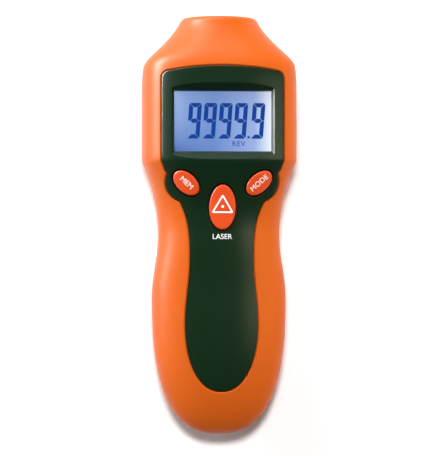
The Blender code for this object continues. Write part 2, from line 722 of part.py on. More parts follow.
def make_display(clear, glass, frame_finish, light, rubber):
    inner_x, inner_y = FRAME_HALF_X - 2 * GAP, FRAME_HALF_Y - 2 * GAP
    y = (VIEW_Y - inner_y, VIEW_Y + inner_y)
    window = (WINDOW_TOP_Z - WINDOW_THICKNESS, WINDOW_TOP_Z)
    block("display_window", (-inner_x, inner_x), y, window, clear)
    lcd_x, lcd_y = VIEW_WIDTH / 2 + LCD_BORDER, VIEW_HEIGHT / 2 + LCD_BORDER
    y = (VIEW_Y - lcd_y, VIEW_Y + lcd_y)
    block("lcd_glass", (-lcd_x, lcd_x), y, (LCD_BOTTOM_Z, LCD_TOP_Z), glass)
    foot = BOARD_TOP_Z + GAP
    frame = view_box("lcd_frame", 0.0, (foot, LCD_TOP_Z))
    frame.data.materials.append(frame_finish)
    y = (y[0] - GAP, y[1] + GAP)
    cut(frame, block("frame_hole", (-lcd_x - GAP, lcd_x + GAP), y, (0.0, FAR)))
    strip_y = lcd_y - ZEBRA_WIDTH
    light_top = LCD_BOTTOM_Z - GAP
    light_y = strip_y - GAP
    y = (VIEW_Y - light_y, VIEW_Y + light_y)
    block("backlight", (-lcd_x, lcd_x), y, (foot, light_top), light)
    for name, side in (("zebra_strip_upper", 1), ("zebra_strip_lower", -1)):
        y = sorted((VIEW_Y + side * strip_y, VIEW_Y + side * lcd_y))
        block(name, (-lcd_x, lcd_x), y, (foot, light_top), rubber)


def make_key(name, finish):
    """A key cap on its flange and stem. Its top follows the face it stands in."""
    centre, length, width, turn = KEYS[name]

    def ring(grow, height):
        outline = key_outline(centre, length, width, turn, grow)
        return [Vector((x, y, height(x, y))) for x, y in outline]

    def stem(z):
        outline = key_outline(centre, 2 * KEY_STEM_RADIUS, 2 * KEY_STEM_RADIUS, turn)
        return [Vector((x, y, z)) for x, y in outline]

    def under(depth):
        return lambda x, y: face_z(x, y, depth)

    def over(rise):
        return lambda x, y: face_z(x, y, PANEL_DROP) + rise

    top = WALL + GAP
    bottom = top + KEY_FLANGE_THICKNESS
    rings = [
        stem(plunger_top_z() + GAP),
        stem(face_z(*centre, bottom) - GAP),
        ring(KEY_CLEARANCE - KEY_FLANGE, under(bottom)),
        ring(KEY_FLANGE, under(bottom)),
        ring(KEY_FLANGE, under(top)),
        ring(0.0, under(top)),
    ]
    rim_steps = 2
    for i in range(rim_steps + 1):
        lean = math.pi / 2 * i / rim_steps
        rise = KEY_RISE - KEY_RIM * (1 - math.sin(lean))
        rings.append(ring(-KEY_RIM * (1 - math.cos(lean)), over(rise)))
    rings.append(ring((KEY_CROWN_SHARE - 1) * min(length, width) / 2, over(KEY_RISE + KEY_CROWN)))
    return smooth_shade(loft(name, rings, finish))


def plunger_top_z():
    return BOARD_TOP_Z + GAP + SWITCH_HEIGHT - SWITCH_WELL + KEY_TRAVEL + GAP + PLUNGER_HEIGHT


def make_switch(name, body_finish, plunger_finish):
    """A small push switch on the board and the plunger that its key presses."""
    x, y = KEYS[name][0]
    half = SWITCH_SIZE / 2
    foot = BOARD_TOP_Z + GAP
    top = foot + SWITCH_HEIGHT
    label = name.replace("_key", "")
    body = block(label + "_switch", (x - half, x + half), (y - half, y + half), (foot, top), body_finish)
    cut(body, post("well", x, y, (top - SWITCH_WELL, FAR), PLUNGER_RADIUS + GAP, MEDIUM_SIDES))
    high = plunger_top_z()
    heights = (high - PLUNGER_HEIGHT, high)
    smooth_shade(post(label + "_plunger", x, y, heights, PLUNGER_RADIUS, MEDIUM_SIDES, plunger_finish))


def make_board(finish, chip, can, sleeve):
    head, neck_half = BOARD_HEAD_WIDTH / 2, BOARD_NECK_WIDTH / 2
    outline = [
        (-neck_half, BOARD_BOTTOM_Y),
        (neck_half, BOARD_BOTTOM_Y),
        (neck_half, BOARD_NECK_Y),
        (head, BOARD_NECK_Y),
        (head, BOARD_TOP_Y),
        (-head, BOARD_TOP_Y),
        (-head, BOARD_NECK_Y),
        (-neck_half, BOARD_NECK_Y),
    ]
    board = prism("main_board", outline, BOARD_BOTTOM_Z, BOARD_TOP_Z, finish)
    for x, y in board_screw_places():
        cut(board, post("hole", x, y, (0.0, FAR), BOARD_SCREW_RADIUS + GAP))
    under = BOARD_BOTTOM_Z - GAP
    half = CHIP_SIZE / 2
    y = (VIEW_Y - half, VIEW_Y + half)
    soften(block("microcontroller", (-half, half), y, (under - CHIP_HEIGHT, under), chip), CHIP_BEVEL)
    y = (y[0] - CRYSTAL_SPACING - CRYSTAL_WIDTH, y[0] - CRYSTAL_SPACING)
    half = CRYSTAL_LENGTH / 2
    crystal = block("crystal", (-half, half), y, (under - CRYSTAL_HEIGHT, under), can)
    soften(crystal, CRYSTAL_CORNER, 2, 80.0)
    for name, side in (("capacitor_left", -1), ("capacitor_right", 1)):
        x = side * CAPACITOR_SPACING / 2
        heights = (under - CAPACITOR_HEIGHT, under)
        y = HEAD_BOTTOM_Y - CAPACITOR_DROP
        smooth_shade(post(name, x, y, heights, CAPACITOR_RADIUS, MEDIUM_SIDES, sleeve))


def make_optics(black, brass, lens, board, dark, window):
    holder = rod("optics_holder", PARTING_HEIGHT, (OPTICS_START_Y, OPTICS_END_Y), OPTICS_RADIUS, finish=black)
    half = OPTICS_FOOT_WIDTH / 2
    y = (OPTICS_START_Y, OPTICS_START_Y + OPTICS_FOOT_LENGTH)
    floor = max(WALL, PARTING_HEIGHT - rear_drop(y[1], WALL)) + 2 * GAP
    join(holder, block("foot", (-half, half), y, (floor, RECEIVER_Z - RECEIVER_RADIUS - GAP)))
    reach = (0.0, FAR)
    cut(holder, rod("laser_bore", LASER_Z, reach, LASER_RADIUS + GAP))
    cut(holder, rod("receiver_bore", RECEIVER_Z, reach, RECEIVER_RADIUS + GAP))
    smooth_shade(holder)

    front = OPTICS_END_Y - GAP
    barrel = rod("laser_module", LASER_Z, (front - LASER_LENGTH, front), LASER_RADIUS, finish=brass)
    seat = (front - LASER_LENS_RADIUS, FAR)
    cut(barrel, rod("lens_seat", LASER_Z, seat, LASER_LENS_RADIUS + GAP, MEDIUM_SIDES))
    smooth_shade(barrel)
    seat = front - LASER_LENS_RADIUS + GAP
    make_lens("laser_lens", LASER_Z, seat, LASER_LENS_RADIUS, LASER_LENS_RADIUS / 2, lens)
    seat = OPTICS_END_Y - GAP - RECEIVER_LENS_THICKNESS
    make_lens("receiver_lens", RECEIVER_Z, seat, RECEIVER_RADIUS, RECEIVER_LENS_THICKNESS, lens)

    half = OPTICS_RADIUS - SENSOR_BOARD_MARGIN
    y = (OPTICS_START_Y - GAP - SENSOR_BOARD_THICKNESS, OPTICS_START_Y - GAP)
    z = (PARTING_HEIGHT - half, PARTING_HEIGHT + half)
    sensor_board = block("sensor_board", (-half, half), y, z, board)
    cut(sensor_board, rod("laser_hole", LASER_Z, reach, LASER_RADIUS + GAP))
    y = (OPTICS_START_Y, OPTICS_START_Y + PHOTODIODE_LENGTH)
    radius = RECEIVER_RADIUS - PHOTODIODE_CLEARANCE
    smooth_shade(rod("photodiode", RECEIVER_Z, y, radius, MEDIUM_SIDES, dark))

    outer = NOSE_WIDTH / 2 - WALL - GAP
    start = OPTICS_END_Y + GAP
    end = HALF_LENGTH - BEZEL_RECESS
    bezel = rod("nose_bezel", PARTING_HEIGHT, (start, end), outer, finish=black)
    seat_y = end - NOSE_WINDOW_THICKNESS - GAP
    cut(bezel, rod("opening", PARTING_HEIGHT, reach, outer - BEZEL_WIDTH))
    cut(bezel, rod("seat", PARTING_HEIGHT, (seat_y - GAP, FAR), outer - BEZEL_WIDTH + BEZEL_SEAT + GAP))
    smooth_shade(bezel)
    y = (seat_y, seat_y + NOSE_WINDOW_THICKNESS)
    smooth_shade(rod("nose_window", PARTING_HEIGHT, y, outer - BEZEL_WIDTH + BEZEL_SEAT, finish=window))


def make_lens(name, z, y, radius, thickness, finish):
    """A lens with a flat back and a domed front."""
    steps = 4
    rim = thickness / 3
    profile = [(0.0, radius), (rim, radius)]
    for i in range(1, steps + 1):
        turn = math.pi / 2 * i / (steps + 1)
        profile.append((rim + (thickness - rim) * math.sin(turn), radius * math.cos(turn)))
    smooth_shade(turned(name, profile, Vector((0, 1, 0)), Vector((0, y, z)), ROUND_SIDES, finish), 60.0)


def make_battery(sleeve, snap_finish, red, black):
    half = BATTERY_WIDTH / 2
    tail = BATTERY_HEAD_Y - BATTERY_LENGTH
    z = (BATTERY_BOTTOM_Z, BATTERY_BOTTOM_Z + BATTERY_THICKNESS)
    battery = block("battery", (-half, half), (tail, BATTERY_HEAD_Y), z, sleeve)
    soften(battery, BATTERY_CORNER, 2)
    middle = (z[0] + z[1]) / 2
    for side in (-1, 1):
        x = side * STUD_SPACING / 2
        profile = [(-GAP, STUD_RADIUS), (STUD_HEIGHT, STUD_RADIUS)]
        place = Vector((x, BATTERY_HEAD_Y, middle))
        join(battery, turned("stud", profile, Vector((0, 1, 0)), place, SMALL_SIDES))
    smooth_shade(battery)

    start = BATTERY_HEAD_Y + GAP
    end = start + STUD_HEIGHT + GAP + SNAP_THICKNESS / 2
    z = (middle - SNAP_HEIGHT / 2, middle + SNAP_HEIGHT / 2)
    snap = block("battery_snap", (-SNAP_WIDTH / 2, SNAP_WIDTH / 2), (start, end), z, snap_finish)
    soften(snap, SNAP_CORNER)
    for side in (-1, 1):
        place = Vector((side * STUD_SPACING / 2, BATTERY_HEAD_Y, middle))
        profile = [(0.0, STUD_RADIUS + GAP), (STUD_HEIGHT + GAP, STUD_RADIUS + GAP)]
        cut(snap, turned("socket", profile, Vector((0, 1, 0)), place, SMALL_SIDES))
    smooth_shade(snap)
    for name, side, finish in (("lead_red", 1, red), ("lead_black", -1, black)):
        make_lead(name, side * STUD_SPACING / 4, end + GAP, middle, finish)


def make_lead(name, x, start_y, start_z, finish):
    """A soldered lead from the snap up to the underside of the board."""
    end_y = BOARD_BOTTOM_Y + SWITCH_SIZE / 2
    end_z = BOARD_BOTTOM_Z - GAP
    start = Vector((x, start_y, start_z))
    start_pull = Vector((x, start_y + STUD_SPACING / 2, start_z))
    end_x = x + math.copysign(LEAD_SPREAD, x)
    end = Vector((end_x, end_y, end_z))
    end_pull = Vector((end_x, end_y, end_z - STUD_SPACING / 2))
    steps = 9
    curve = bpy.data.curves.new(name, "CURVE")
    curve.dimensions = "3D"
    curve.bevel_depth = LEAD_DIAMETER / 2
    curve.bevel_resolution = 2
    curve.use_fill_caps = True
    line = curve.splines.new("POLY")
    line.points.add(steps)
    for i in range(steps + 1):
        t = i / steps
        s = 1 - t
        spot = start * s ** 3 + start_pull * 3 * s * s * t + end_pull * 3 * s * t * t + end * t ** 3
        line.points[i].co = (*spot, 1.0)
    curve.materials.append(finish)
    lead = bpy.data.objects.new(name, curve)
    bpy.context.scene.collection.objects.link(lead)


def screw_profile(seat, head, head_radius, radius, reach):
    """A screw that stands on its head: chamfered head, shank and blunt point."""
    chamfer = head / 3
    return [
        (seat - head, head_radius - chamfer),
        (seat - head + chamfer, head_radius),
        (seat, head_radius),
        (seat, radius),
        (reach - radius / 2, radius),
        (reach, radius / 2),
    ]


def make_screws(steel):
    seat = CASE_SCREW_SEAT_Z - GAP
    reach = PARTING_HEIGHT + CASE_SCREW_REACH
    case = screw_profile(seat, CASE_SCREW_HEAD_HEIGHT, CASE_SCREW_HEAD_RADIUS, CASE_SCREW_RADIUS, reach)
    seat = BOARD_BOTTOM_Z - GAP
    reach = BOARD_TOP_Z + BOARD_SCREW_REACH
    board = screw_profile(seat, BOARD_SCREW_HEAD_HEIGHT, BOARD_SCREW_HEAD_RADIUS, BOARD_SCREW_RADIUS, reach)
    kinds = (("case", case, case_screw_places()), ("board", board, board_screw_places()))
    for kind, profile, places in kinds:
        for number, (x, y) in enumerate(places, 1):
            name, place = f"{kind}_screw_{number}", Vector((x, y, 0))
            smooth_shade(turned(name, profile, Vector((0, 0, 1)), place, SMALL_SIDES, steel))


def main():
    clear_scene()
    orange = material("orange_abs", (0.87, 0.14, 0.02), 0.42)
    green = material("dark_green_abs", (0.007, 0.03, 0.014), 0.45)
    key_orange = material("key_orange", (0.95, 0.10, 0.02), 0.40)
    black = material("black_abs", (0.012, 0.012, 0.013), 0.5)
    clear = material("clear_acrylic", (0.9, 0.93, 0.95), 0.05, alpha=0.25)
    glass = material("lcd_glass", (0.20, 0.34, 0.75), 0.15)
    white = material("white_diffuser", (0.85, 0.87, 0.9), 0.4)
    rubber = material("grey_rubber", (0.16, 0.16, 0.17), 0.8)
    board = material("green_laminate", (0.01, 0.12, 0.05), 0.4)
    steel = material("zinc_steel", (0.6, 0.6, 0.62), 0.3, 1.0)
    brass = material("brass", (0.72, 0.5, 0.18), 0.3, 1.0)
    lens = material("optical_glass", (0.75, 0.85, 0.9), 0.03, alpha=0.5)
    red_tint = material("red_tinted_acrylic", (0.12, 0.005, 0.008), 0.08)
    red = material("red_wire", (0.6, 0.02, 0.02), 0.5)
    sleeve = material("battery_sleeve", (0.03, 0.05, 0.10), 0.35)

    make_front_case(orange)
    make_rear_case(orange)
    make_battery_door(orange)
    make_face_panel(green)
    make_display(clear, glass, white, white, rubber)
    make_board(board, black, steel, sleeve)
    for name in KEYS:
        make_key(name, key_orange)
        make_switch(name, black, rubber)
    make_optics(black, brass, lens, board, black, red_tint)
    make_battery(sleeve, black, red, black)
    make_screws(steel)


main()
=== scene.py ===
import math

import bmesh
import bpy
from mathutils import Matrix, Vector


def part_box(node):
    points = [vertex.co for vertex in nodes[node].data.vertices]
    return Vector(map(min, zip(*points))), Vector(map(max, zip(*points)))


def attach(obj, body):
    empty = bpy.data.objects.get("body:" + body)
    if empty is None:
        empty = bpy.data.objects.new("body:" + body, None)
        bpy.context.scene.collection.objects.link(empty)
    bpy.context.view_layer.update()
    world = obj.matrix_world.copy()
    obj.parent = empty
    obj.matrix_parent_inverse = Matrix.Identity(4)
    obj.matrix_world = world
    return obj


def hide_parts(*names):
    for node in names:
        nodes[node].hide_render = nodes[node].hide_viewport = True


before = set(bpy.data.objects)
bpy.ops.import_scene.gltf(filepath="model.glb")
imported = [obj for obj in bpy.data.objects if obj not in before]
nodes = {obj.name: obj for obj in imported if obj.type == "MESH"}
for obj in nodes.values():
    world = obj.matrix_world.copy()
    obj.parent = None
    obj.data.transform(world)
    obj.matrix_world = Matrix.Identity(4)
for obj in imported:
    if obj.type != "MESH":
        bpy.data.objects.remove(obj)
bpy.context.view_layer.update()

# Handheld photo tachometer, on its back: X across, +Y to the nose, +Z out of the face.
# All lengths below are in millimetres, and meshes are scaled to metres as they are made.
mm = 0.001
scene = bpy.context.scene
scene.view_settings.view_transform = "Standard"  # the plastics keep their full colour

# Materials


def hexColour(code):  # sRGB hex to linear
    parts = [int(code[i:i + 2], 16) / 255 for i in (1, 3, 5)]
    linear = [p / 12.92 if p <= 0.04045 else ((p + 0.055) / 1.055) ** 2.4 for p in parts]
    return (*linear, 1.0)


def addNode(tree, kind, settings=None, links=None):  # a node with its settings and links
    node = tree.nodes.new(kind)
    for name, value in (settings or {}).items():
        if isinstance(name, int) or name in node.inputs:
            node.inputs[name].default_value = value
        else:
            setattr(node, name, value)
    for name, source in (links or {}).items():
        tree.links.new(source, node.inputs[name])
    return node


def newFinish(name, constants):  # a material, its node tree and its shader
    finish = bpy.data.materials.new(name)
    finish.use_nodes = True
    tree = finish.node_tree
    shader = tree.nodes["Principled BSDF"]
    for socket, value in constants.items():
        shader.inputs[socket].default_value = value
    return finish, tree, shader


def mouldedPlastic(name, pale, deep, rough, grain, relief, shine=0.5):
    # the colour drifts a little over the part, and a fine grain breaks up the sheen
    finish, tree, shader = newFinish(name, {"IOR": 1.53, "Specular IOR Level": shine})
    place = addNode(tree, "ShaderNodeTexCoord").outputs["Object"]
    drift = addNode(tree, "ShaderNodeTexNoise", {"Scale": 1 / (45 * mm), "Detail": 3.0}, {"Vector": place})
    tint = addNode(tree, "ShaderNodeMix", {"data_type": "RGBA", 6: hexColour(pale), 7: hexColour(deep)},
                   {0: drift.outputs["Fac"]})
    speck = addNode(tree, "ShaderNodeTexNoise", {"Scale": 1 / (grain * mm), "Detail": 2.0},
                    {"Vector": place})
    gloss = addNode(tree, "ShaderNodeMapRange", {"To Min": rough - 0.06, "To Max": rough + 0.06},
                    {"Value": speck.outputs["Fac"]})
    bump = addNode(tree, "ShaderNodeBump", {"Strength": relief, "Distance": 0.02 * mm},
                   {"Height": speck.outputs["Fac"]})
    tree.links.new(tint.outputs[2], shader.inputs["Base Color"])
    tree.links.new(gloss.outputs["Result"], shader.inputs["Roughness"])
    tree.links.new(bump.outputs["Normal"], shader.inputs["Normal"])
    return finish


def turnedMetal(name, pale, deep, rough, pitch, axis):
    # fine tool marks across the axis, which draw the highlight out
    finish, tree, shader = newFinish(name, {"Metallic": 1.0})
    place = addNode(tree, "ShaderNodeTexCoord").outputs["Object"]
    marks = addNode(tree, "ShaderNodeTexWave", {"bands_direction": axis, "Scale": 1 / (pitch * mm) / 20,
                    "Distortion": 1.5, "Detail": 2.0}, {"Vector": place})
    tint = addNode(tree, "ShaderNodeMix", {"data_type": "RGBA", 6: hexColour(pale), 7: hexColour(deep)},
                   {0: marks.outputs["Fac"]})
    gloss = addNode(tree, "ShaderNodeMapRange", {"To Min": rough - 0.08, "To Max": rough + 0.08},
                    {"Value": marks.outputs["Fac"]})
    tree.links.new(tint.outputs[2], shader.inputs["Base Color"])
    tree.links.new(gloss.outputs["Result"], shader.inputs["Roughness"])
    return finish


def clearPlastic(name, pale, deep, cover, rough):
    # a thin polished sheet: mostly seen through, with faint moulding drift in its gloss
    finish, tree, shader = newFinish(name, {"IOR": 1.49, "Alpha": cover})
    place = addNode(tree, "ShaderNodeTexCoord").outputs["Object"]
    drift = addNode(tree, "ShaderNodeTexNoise", {"Scale": 1 / (12 * mm)}, {"Vector": place})
    tint = addNode(tree, "ShaderNodeMix", {"data_type": "RGBA", 6: hexColour(pale), 7: hexColour(deep)},
                   {0: drift.outputs["Fac"]})
    gloss = addNode(tree, "ShaderNodeMapRange", {"To Min": rough, "To Max": rough + 0.03},
                    {"Value": drift.outputs["Fac"]})
    tree.links.new(tint.outputs[2], shader.inputs["Base Color"])
    tree.links.new(gloss.outputs["Result"], shader.inputs["Roughness"])
    return finish


display = {
    # the corner colour and its power give the painted deep blue of the crystal's far lower corner
    "segmentColour": "#17449a", "segmentShade": "#113d91", "corner": "#0048a0", "cornerPower": 2.0,
    "glow": 0.08,
    # the stops of the painted light across the crystal, from left to right: paler and nearly white towards
    # the right
    "paintedWash": [(0.06, "#9db6e2"), (0.16, "#88a5d9"), (0.42, "#7694ce"), (0.8, "#98aedd"), (0.98, "#eff5fb")],
}


def paintedLightDisplay(name):
    # a backlit liquid crystal with painted light: its colour is painted paler towards the right, nearly
    # white, and deep blue in the far lower corner, and the same colour glows faintly
    constants = {"IOR": 1.52, "Roughness": 0.12, "Emission Strength": display["glow"]}
    finish, tree, shader = newFinish(name, constants)
    low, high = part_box("lcd_glass")
    place = addNode(tree, "ShaderNodeTexCoord").outputs["Object"]
    split = addNode(tree, "ShaderNodeSeparateXYZ", None, {"Vector": place})
    across = addNode(tree, "ShaderNodeMapRange", {"From Min": low.x, "From Max": high.x},
                     {"Value": split.outputs["X"]})
    down = addNode(tree, "ShaderNodeMapRange", {"From Min": high.y, "From Max": low.y},
                   {"Value": split.outputs["Y"]})
    paintedWash = addNode(tree, "ShaderNodeValToRGB", None, {"Fac": across.outputs["Result"]})
    ramp = paintedWash.color_ramp.elements
    while len(ramp) < len(display["paintedWash"]):
        ramp.new(0.5)
    for stop, (at, colour) in zip(ramp, display["paintedWash"]):
        stop.position = at
        stop.color = hexColour(colour)
    fromRight = addNode(tree, "ShaderNodeMath", {"operation": "SUBTRACT", 0: 1.0},
                        {1: across.outputs["Result"]})
    near = addNode(tree, "ShaderNodeMath", {"operation": "MULTIPLY"},
                   {0: fromRight.outputs[0], 1: down.outputs["Result"]})
    corner = addNode(tree, "ShaderNodeMath", {"operation": "POWER", 1: display["cornerPower"]},
                     {0: near.outputs[0]})
    tint = addNode(tree, "ShaderNodeMix", {"data_type": "RGBA", 7: hexColour(display["corner"])},
                   {0: corner.outputs[0], 6: paintedWash.outputs["Color"]})
    tree.links.new(tint.outputs[2], shader.inputs["Base Color"])
    tree.links.new(tint.outputs[2], shader.inputs["Emission Color"])
    return finish


orangeAbs = mouldedPlastic("orangeAbsMoulded", "#c75a16", "#c25515",  # satin, warm
                           rough=0.42, grain=0.5, relief=0.12, shine=0.13)
greenAbs = mouldedPlastic("darkGreenAbsMoulded", "#0e2814", "#0b2011",  # deep, low sheen
                          rough=0.3, grain=0.4, relief=0.06, shine=0.3)
keyAbs = mouldedPlastic("keyOrangeAbsMoulded", "#dc4f20", "#d6491c",  # smoother, redder than the case
                        rough=0.32, grain=0.6, relief=0.05, shine=0.35)
blackAbs = mouldedPlastic("blackAbsMoulded", "#1b1b1d", "#141416",  # matt black
                          rough=0.5, grain=0.4, relief=0.15)
whiteDiffuser = mouldedPlastic("whiteAcrylicMoulded", "#eef0f2", "#e2e6ea",  # milky
                               rough=0.35, grain=0.8, relief=0.04)
greyRubber = mouldedPlastic("greySiliconeMoulded", "#5b5c5f", "#505154",  # dull
                            rough=0.75, grain=0.5, relief=0.15)
printInk = mouldedPlastic("whiteInkPrinted", "#fdfdfb", "#f2f2ee",  # flat white
                          rough=0.55, grain=0.3, relief=0.05)
segmentInk = mouldedPlastic("crystalSegmentsDark", display["segmentColour"], display["segmentShade"],  # blue
                            rough=0.3, grain=1.0, relief=0.0, shine=0.1)
boardLaminate = mouldedPlastic("boardLaminateGlassFibre", "#1d6b3c", "#14562f",  # green
                               rough=0.38, grain=0.7, relief=0.12)
sleeveFoil = mouldedPlastic("batterySleevePrinted", "#1f2a44", "#18213a",  # glossy foil
                            rough=0.28, grain=2.0, relief=0.03)
redWire = mouldedPlastic("redPvcWire", "#b5161a", "#a01316",  # soft shine
                         rough=0.42, grain=0.8, relief=0.05)
zincSteel = turnedMetal("zincPlatedSteel", "#c9ccd0", "#a9adb3",  # bright, fine marks
                        rough=0.3, pitch=0.15, axis="Z")
brass = turnedMetal("turnedBrass", "#d9ac58", "#c09040",  # yellow, tool marks
                    rough=0.28, pitch=0.2, axis="Y")
clearAcrylic = clearPlastic("clearAcrylicPolished", "#1c2228", "#181e24",  # barely there
                            cover=0.06, rough=0.04)
lensGlass = clearPlastic("opticalGlassPolished", "#dbe9f2", "#cfe0ec",  # pale, very glossy
                         cover=0.45, rough=0.02)
redAcrylic = clearPlastic("redAcrylicPolished", "#3c0a10", "#2c070c",  # near black, red depth
                          cover=0.92, rough=0.05)
paintedLightCrystal = paintedLightDisplay("liquidCrystalPaintedLight")
print("materials made")

# Mesh tools


def addMesh(name, form, finish):
    bmesh.ops.recalc_face_normals(form, faces=form.faces)
    mesh = bpy.data.meshes.new(name)
    form.to_mesh(mesh)
    form.free()
    item = bpy.data.objects.new(name, mesh)
    scene.collection.objects.link(item)
    if finish:
        mesh.materials.append(finish)
    return item


def loft(name, rings, finish=None, closed=False):  # closed joins the last ring to the first
    form = bmesh.new()
    rows = [[form.verts.new(Vector(point) * mm) for point in ring] for ring in rings]
    pairs = list(zip(rows, rows[1:])) + ([(rows[-1], rows[0])] if closed else [])
    for low, high in pairs:
        for i in range(len(low)):
            j = (i + 1) % len(low)
            form.faces.new((low[i], low[j], high[j], high[i]))
    if not closed:
        for ring in (rows[0], rows[-1]):
            form.faces.new(ring)
    bmesh.ops.triangulate(form, faces=[face for face in form.faces if len(face.verts) > 4])
    return addMesh(name, form, finish)


def prism(name, outline, low, high, finish=None):
    return loft(name, [[(x, y, z) for x, y in outline] for z in (low, high)], finish)


def block(name, x, y, z, finish=None):
    return prism(name, [(x[0], y[0]), (x[1], y[0]), (x[1], y[1]), (x[0], y[1])], z[0], z[1], finish)


def turned(name, profile, axis, place, sides=64, finish=None):  # profile pairs are (along, radius)
    across = axis.orthogonal().normalized()
    other = axis.cross(across)
    turns = [2 * math.pi * i / sides for i in range(sides)]
    rings = []
    for along, radius in profile:
        centre = place + axis * along
        rings.append([centre + (across * math.cos(a) + other * math.sin(a)) * radius for a in turns])
    return loft(name, rings, finish)


def post(name, x, y, z, radius, sides=48):
    return turned(name, [(z[0], radius), (z[1], radius)], Vector((0, 0, 1)), Vector((x, y, 0)), sides)


def combine(target, tool, operation):
    step = target.modifiers.new("combine", "BOOLEAN")
    step.object = tool
    step.operation = operation
    step.solver = "MANIFOLD"
    bpy.context.view_layer.objects.active = target
    bpy.ops.object.modifier_apply(modifier=step.name)
    bpy.data.objects.remove(tool)
    return target


def cut(target, tool):
    return combine(target, tool, "DIFFERENCE")


def join(target, tool):
    return combine(target, tool, "UNION")


def keepInside(target, tool):
    return combine(target, tool, "INTERSECT")


def shade(item, angle=32):  # the faces that a cut made take the piece's own finish
    while len(item.data.materials) > 1:
        item.data.materials.pop()
    item.data.polygons.foreach_set("material_index", [0] * len(item.data.polygons))
    item.data.shade_smooth()
    item.data.set_sharp_from_angle(angle=math.radians(angle))
    return item


def dress(item, bodyName, slotName, *replaced):
    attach(item, bodyName)
    if replaced:
        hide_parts(*replaced)
    return item


# Form of the body

body = {
    "noseLength": 17.1, "headLength": 38.1, "neckLength": 28.0, "waistLength": 24.3, "tailLength": 52.5,
    "headWidth": 59.2, "waistWidth": 46.5, "gripWidth": 51.4, "noseWidth": 29.3,
    "headThickness": 42.5, "waistThickness": 35.8, "gripThickness": 34.8,
    "parting": 20.0, "wall": 2.4, "noseEdge": 1.8, "sag": 0.5, "gap": 0.3,
    "headPower": 3.3, "gripPower": 2.6, "rearPower": 3.0, "nosePower": 2.0, "tailPower": 2.55,
    "shoulderPower": 1.42, "cornerSoftness": 0.2, "shoulderSoftness": 1.3, "tailEnd": 88.5,
    "sides": 96, "cavitySides": 32, "over": 2.0, "far": 100.0, "tailRings": 48, "noseRings": 12,
    "cornerBelow": 1.5, "cornerAbove": 1.2, "shoulderBelow": 6.0, "shoulderAbove": 4.0, "cutterLift": 1.0,
}
halfLength = sum(body[k + "Length"] for k in ("nose", "head", "neck", "waist", "tail")) / 2
shoulderY = halfLength - body["noseLength"]
headBottomY = shoulderY - body["headLength"]
waistY = headBottomY - body["neckLength"]
gripY = waistY - body["waistLength"]
parting, gap, wall, far = body["parting"], body["gap"], body["wall"], body["far"]
cutterLowZ = parting + body["cutterLift"]


def arch(t, power):  # height of a unit superellipse at t of its half-span
    return max(0.0, 1.0 - min(abs(t), 1.0) ** power) ** (1.0 / power)


def ease(a, b, t):
    t = min(max(t, 0.0), 1.0)
    return a + (b - a) * (1.0 - math.cos(math.pi * t)) / 2.0


def softMin(a, b, softness):
    return (a + b) / 2.0 - math.sqrt(((a - b) / 2.0) ** 2 + softness ** 2)


def flare(y, nose, head):
    back = max(0.0, halfLength - y)
    edge = body["noseEdge"] * (1.0 - arch(max(0.0, 1.0 - back / body["noseEdge"]), 2.0))
    return nose + (head - nose) * (back / body["noseLength"]) ** body["shoulderPower"] - edge


def neck(y, waist, head):
    t = max(0.0, (y - waistY) / (headBottomY - waistY))
    return waist + (head - waist) * t * t


def lengthwise(y, inset, nose, head, waist, grip):  # one measure of the body along its length
    if y <= gripY:
        return (grip - inset) * arch((gripY - y) / (gripY + halfLength - inset), body["tailPower"])
    if y <= waistY:
        return ease(waist, grip, (waistY - y) / (waistY - gripY)) - inset
    lower = softMin(neck(y, waist, head), head, body["cornerSoftness"])
    return softMin(lower, flare(y, nose, head), body["shoulderSoftness"]) - inset


def halfWidth(y, inset=0.0):
    widths = [body[k + "Width"] / 2 for k in ("nose", "head", "waist", "grip")]
    return lengthwise(y, inset, *widths)


def frontRise(y, inset=0.0):
    heights = [body[k + "Thickness"] - parting for k in ("head", "waist", "grip")]
    return lengthwise(y, inset, body["noseWidth"] / 2, *heights)


def rearDrop(y, inset=0.0):
    deep = parting + body["sag"]
    if y <= gripY:
        return (deep - inset) * arch((gripY - y) / (gripY + halfLength - inset), body["rearPower"])
    return softMin(deep, flare(y, body["noseWidth"] / 2, deep), body["shoulderSoftness"]) - inset


def sectionPower(y, full):
    return ease(full, body["nosePower"], (y - shoulderY) / body["noseLength"])


def frontPower(y):
    full = ease(body["gripPower"], body["headPower"], (y - waistY) / (headBottomY - waistY))
    return sectionPower(y, full)


def faceZ(x, y, inset=0.0):
    return parting + frontRise(y, inset) * arch(x / halfWidth(y, inset), frontPower(y))


def stations(inset, coarse):  # where the rings of the body stand, closest at its corners
    step = 3 if coarse else 1
    reach = gripY + halfLength - inset
    count = body["tailRings"] // step
    turns = [math.radians(body["tailEnd"] * i / count) for i in range(count, 0, -1)]
    rows = [gripY - reach * math.sin(turn) for turn in turns]
    cornerStart, cornerEnd = headBottomY - body["cornerBelow"], headBottomY + body["cornerAbove"]
    shoulderStart, shoulderEnd = shoulderY - body["shoulderBelow"], shoulderY + body["shoulderAbove"]
    stretches = [  # from, to and how many rings
        (gripY, waistY, 24), (waistY, cornerStart, 27), (cornerStart, cornerEnd, 12),
        (cornerEnd, shoulderStart, 24), (shoulderStart, shoulderEnd, 24),
        (shoulderEnd, halfLength - body["noseEdge"], 15),
    ]
    for start, end, count in stretches:
        count = count // step
        rows += [start + (end - start) * i / count for i in range(count)]
    count = body["noseRings"] // step
    turns = [math.pi / 2 * i / count for i in range(count + 1)]
    rows += [halfLength - body["noseEdge"] * (1 - math.sin(turn)) for turn in turns]
    return rows + [halfLength + body["over"]] if inset else rows


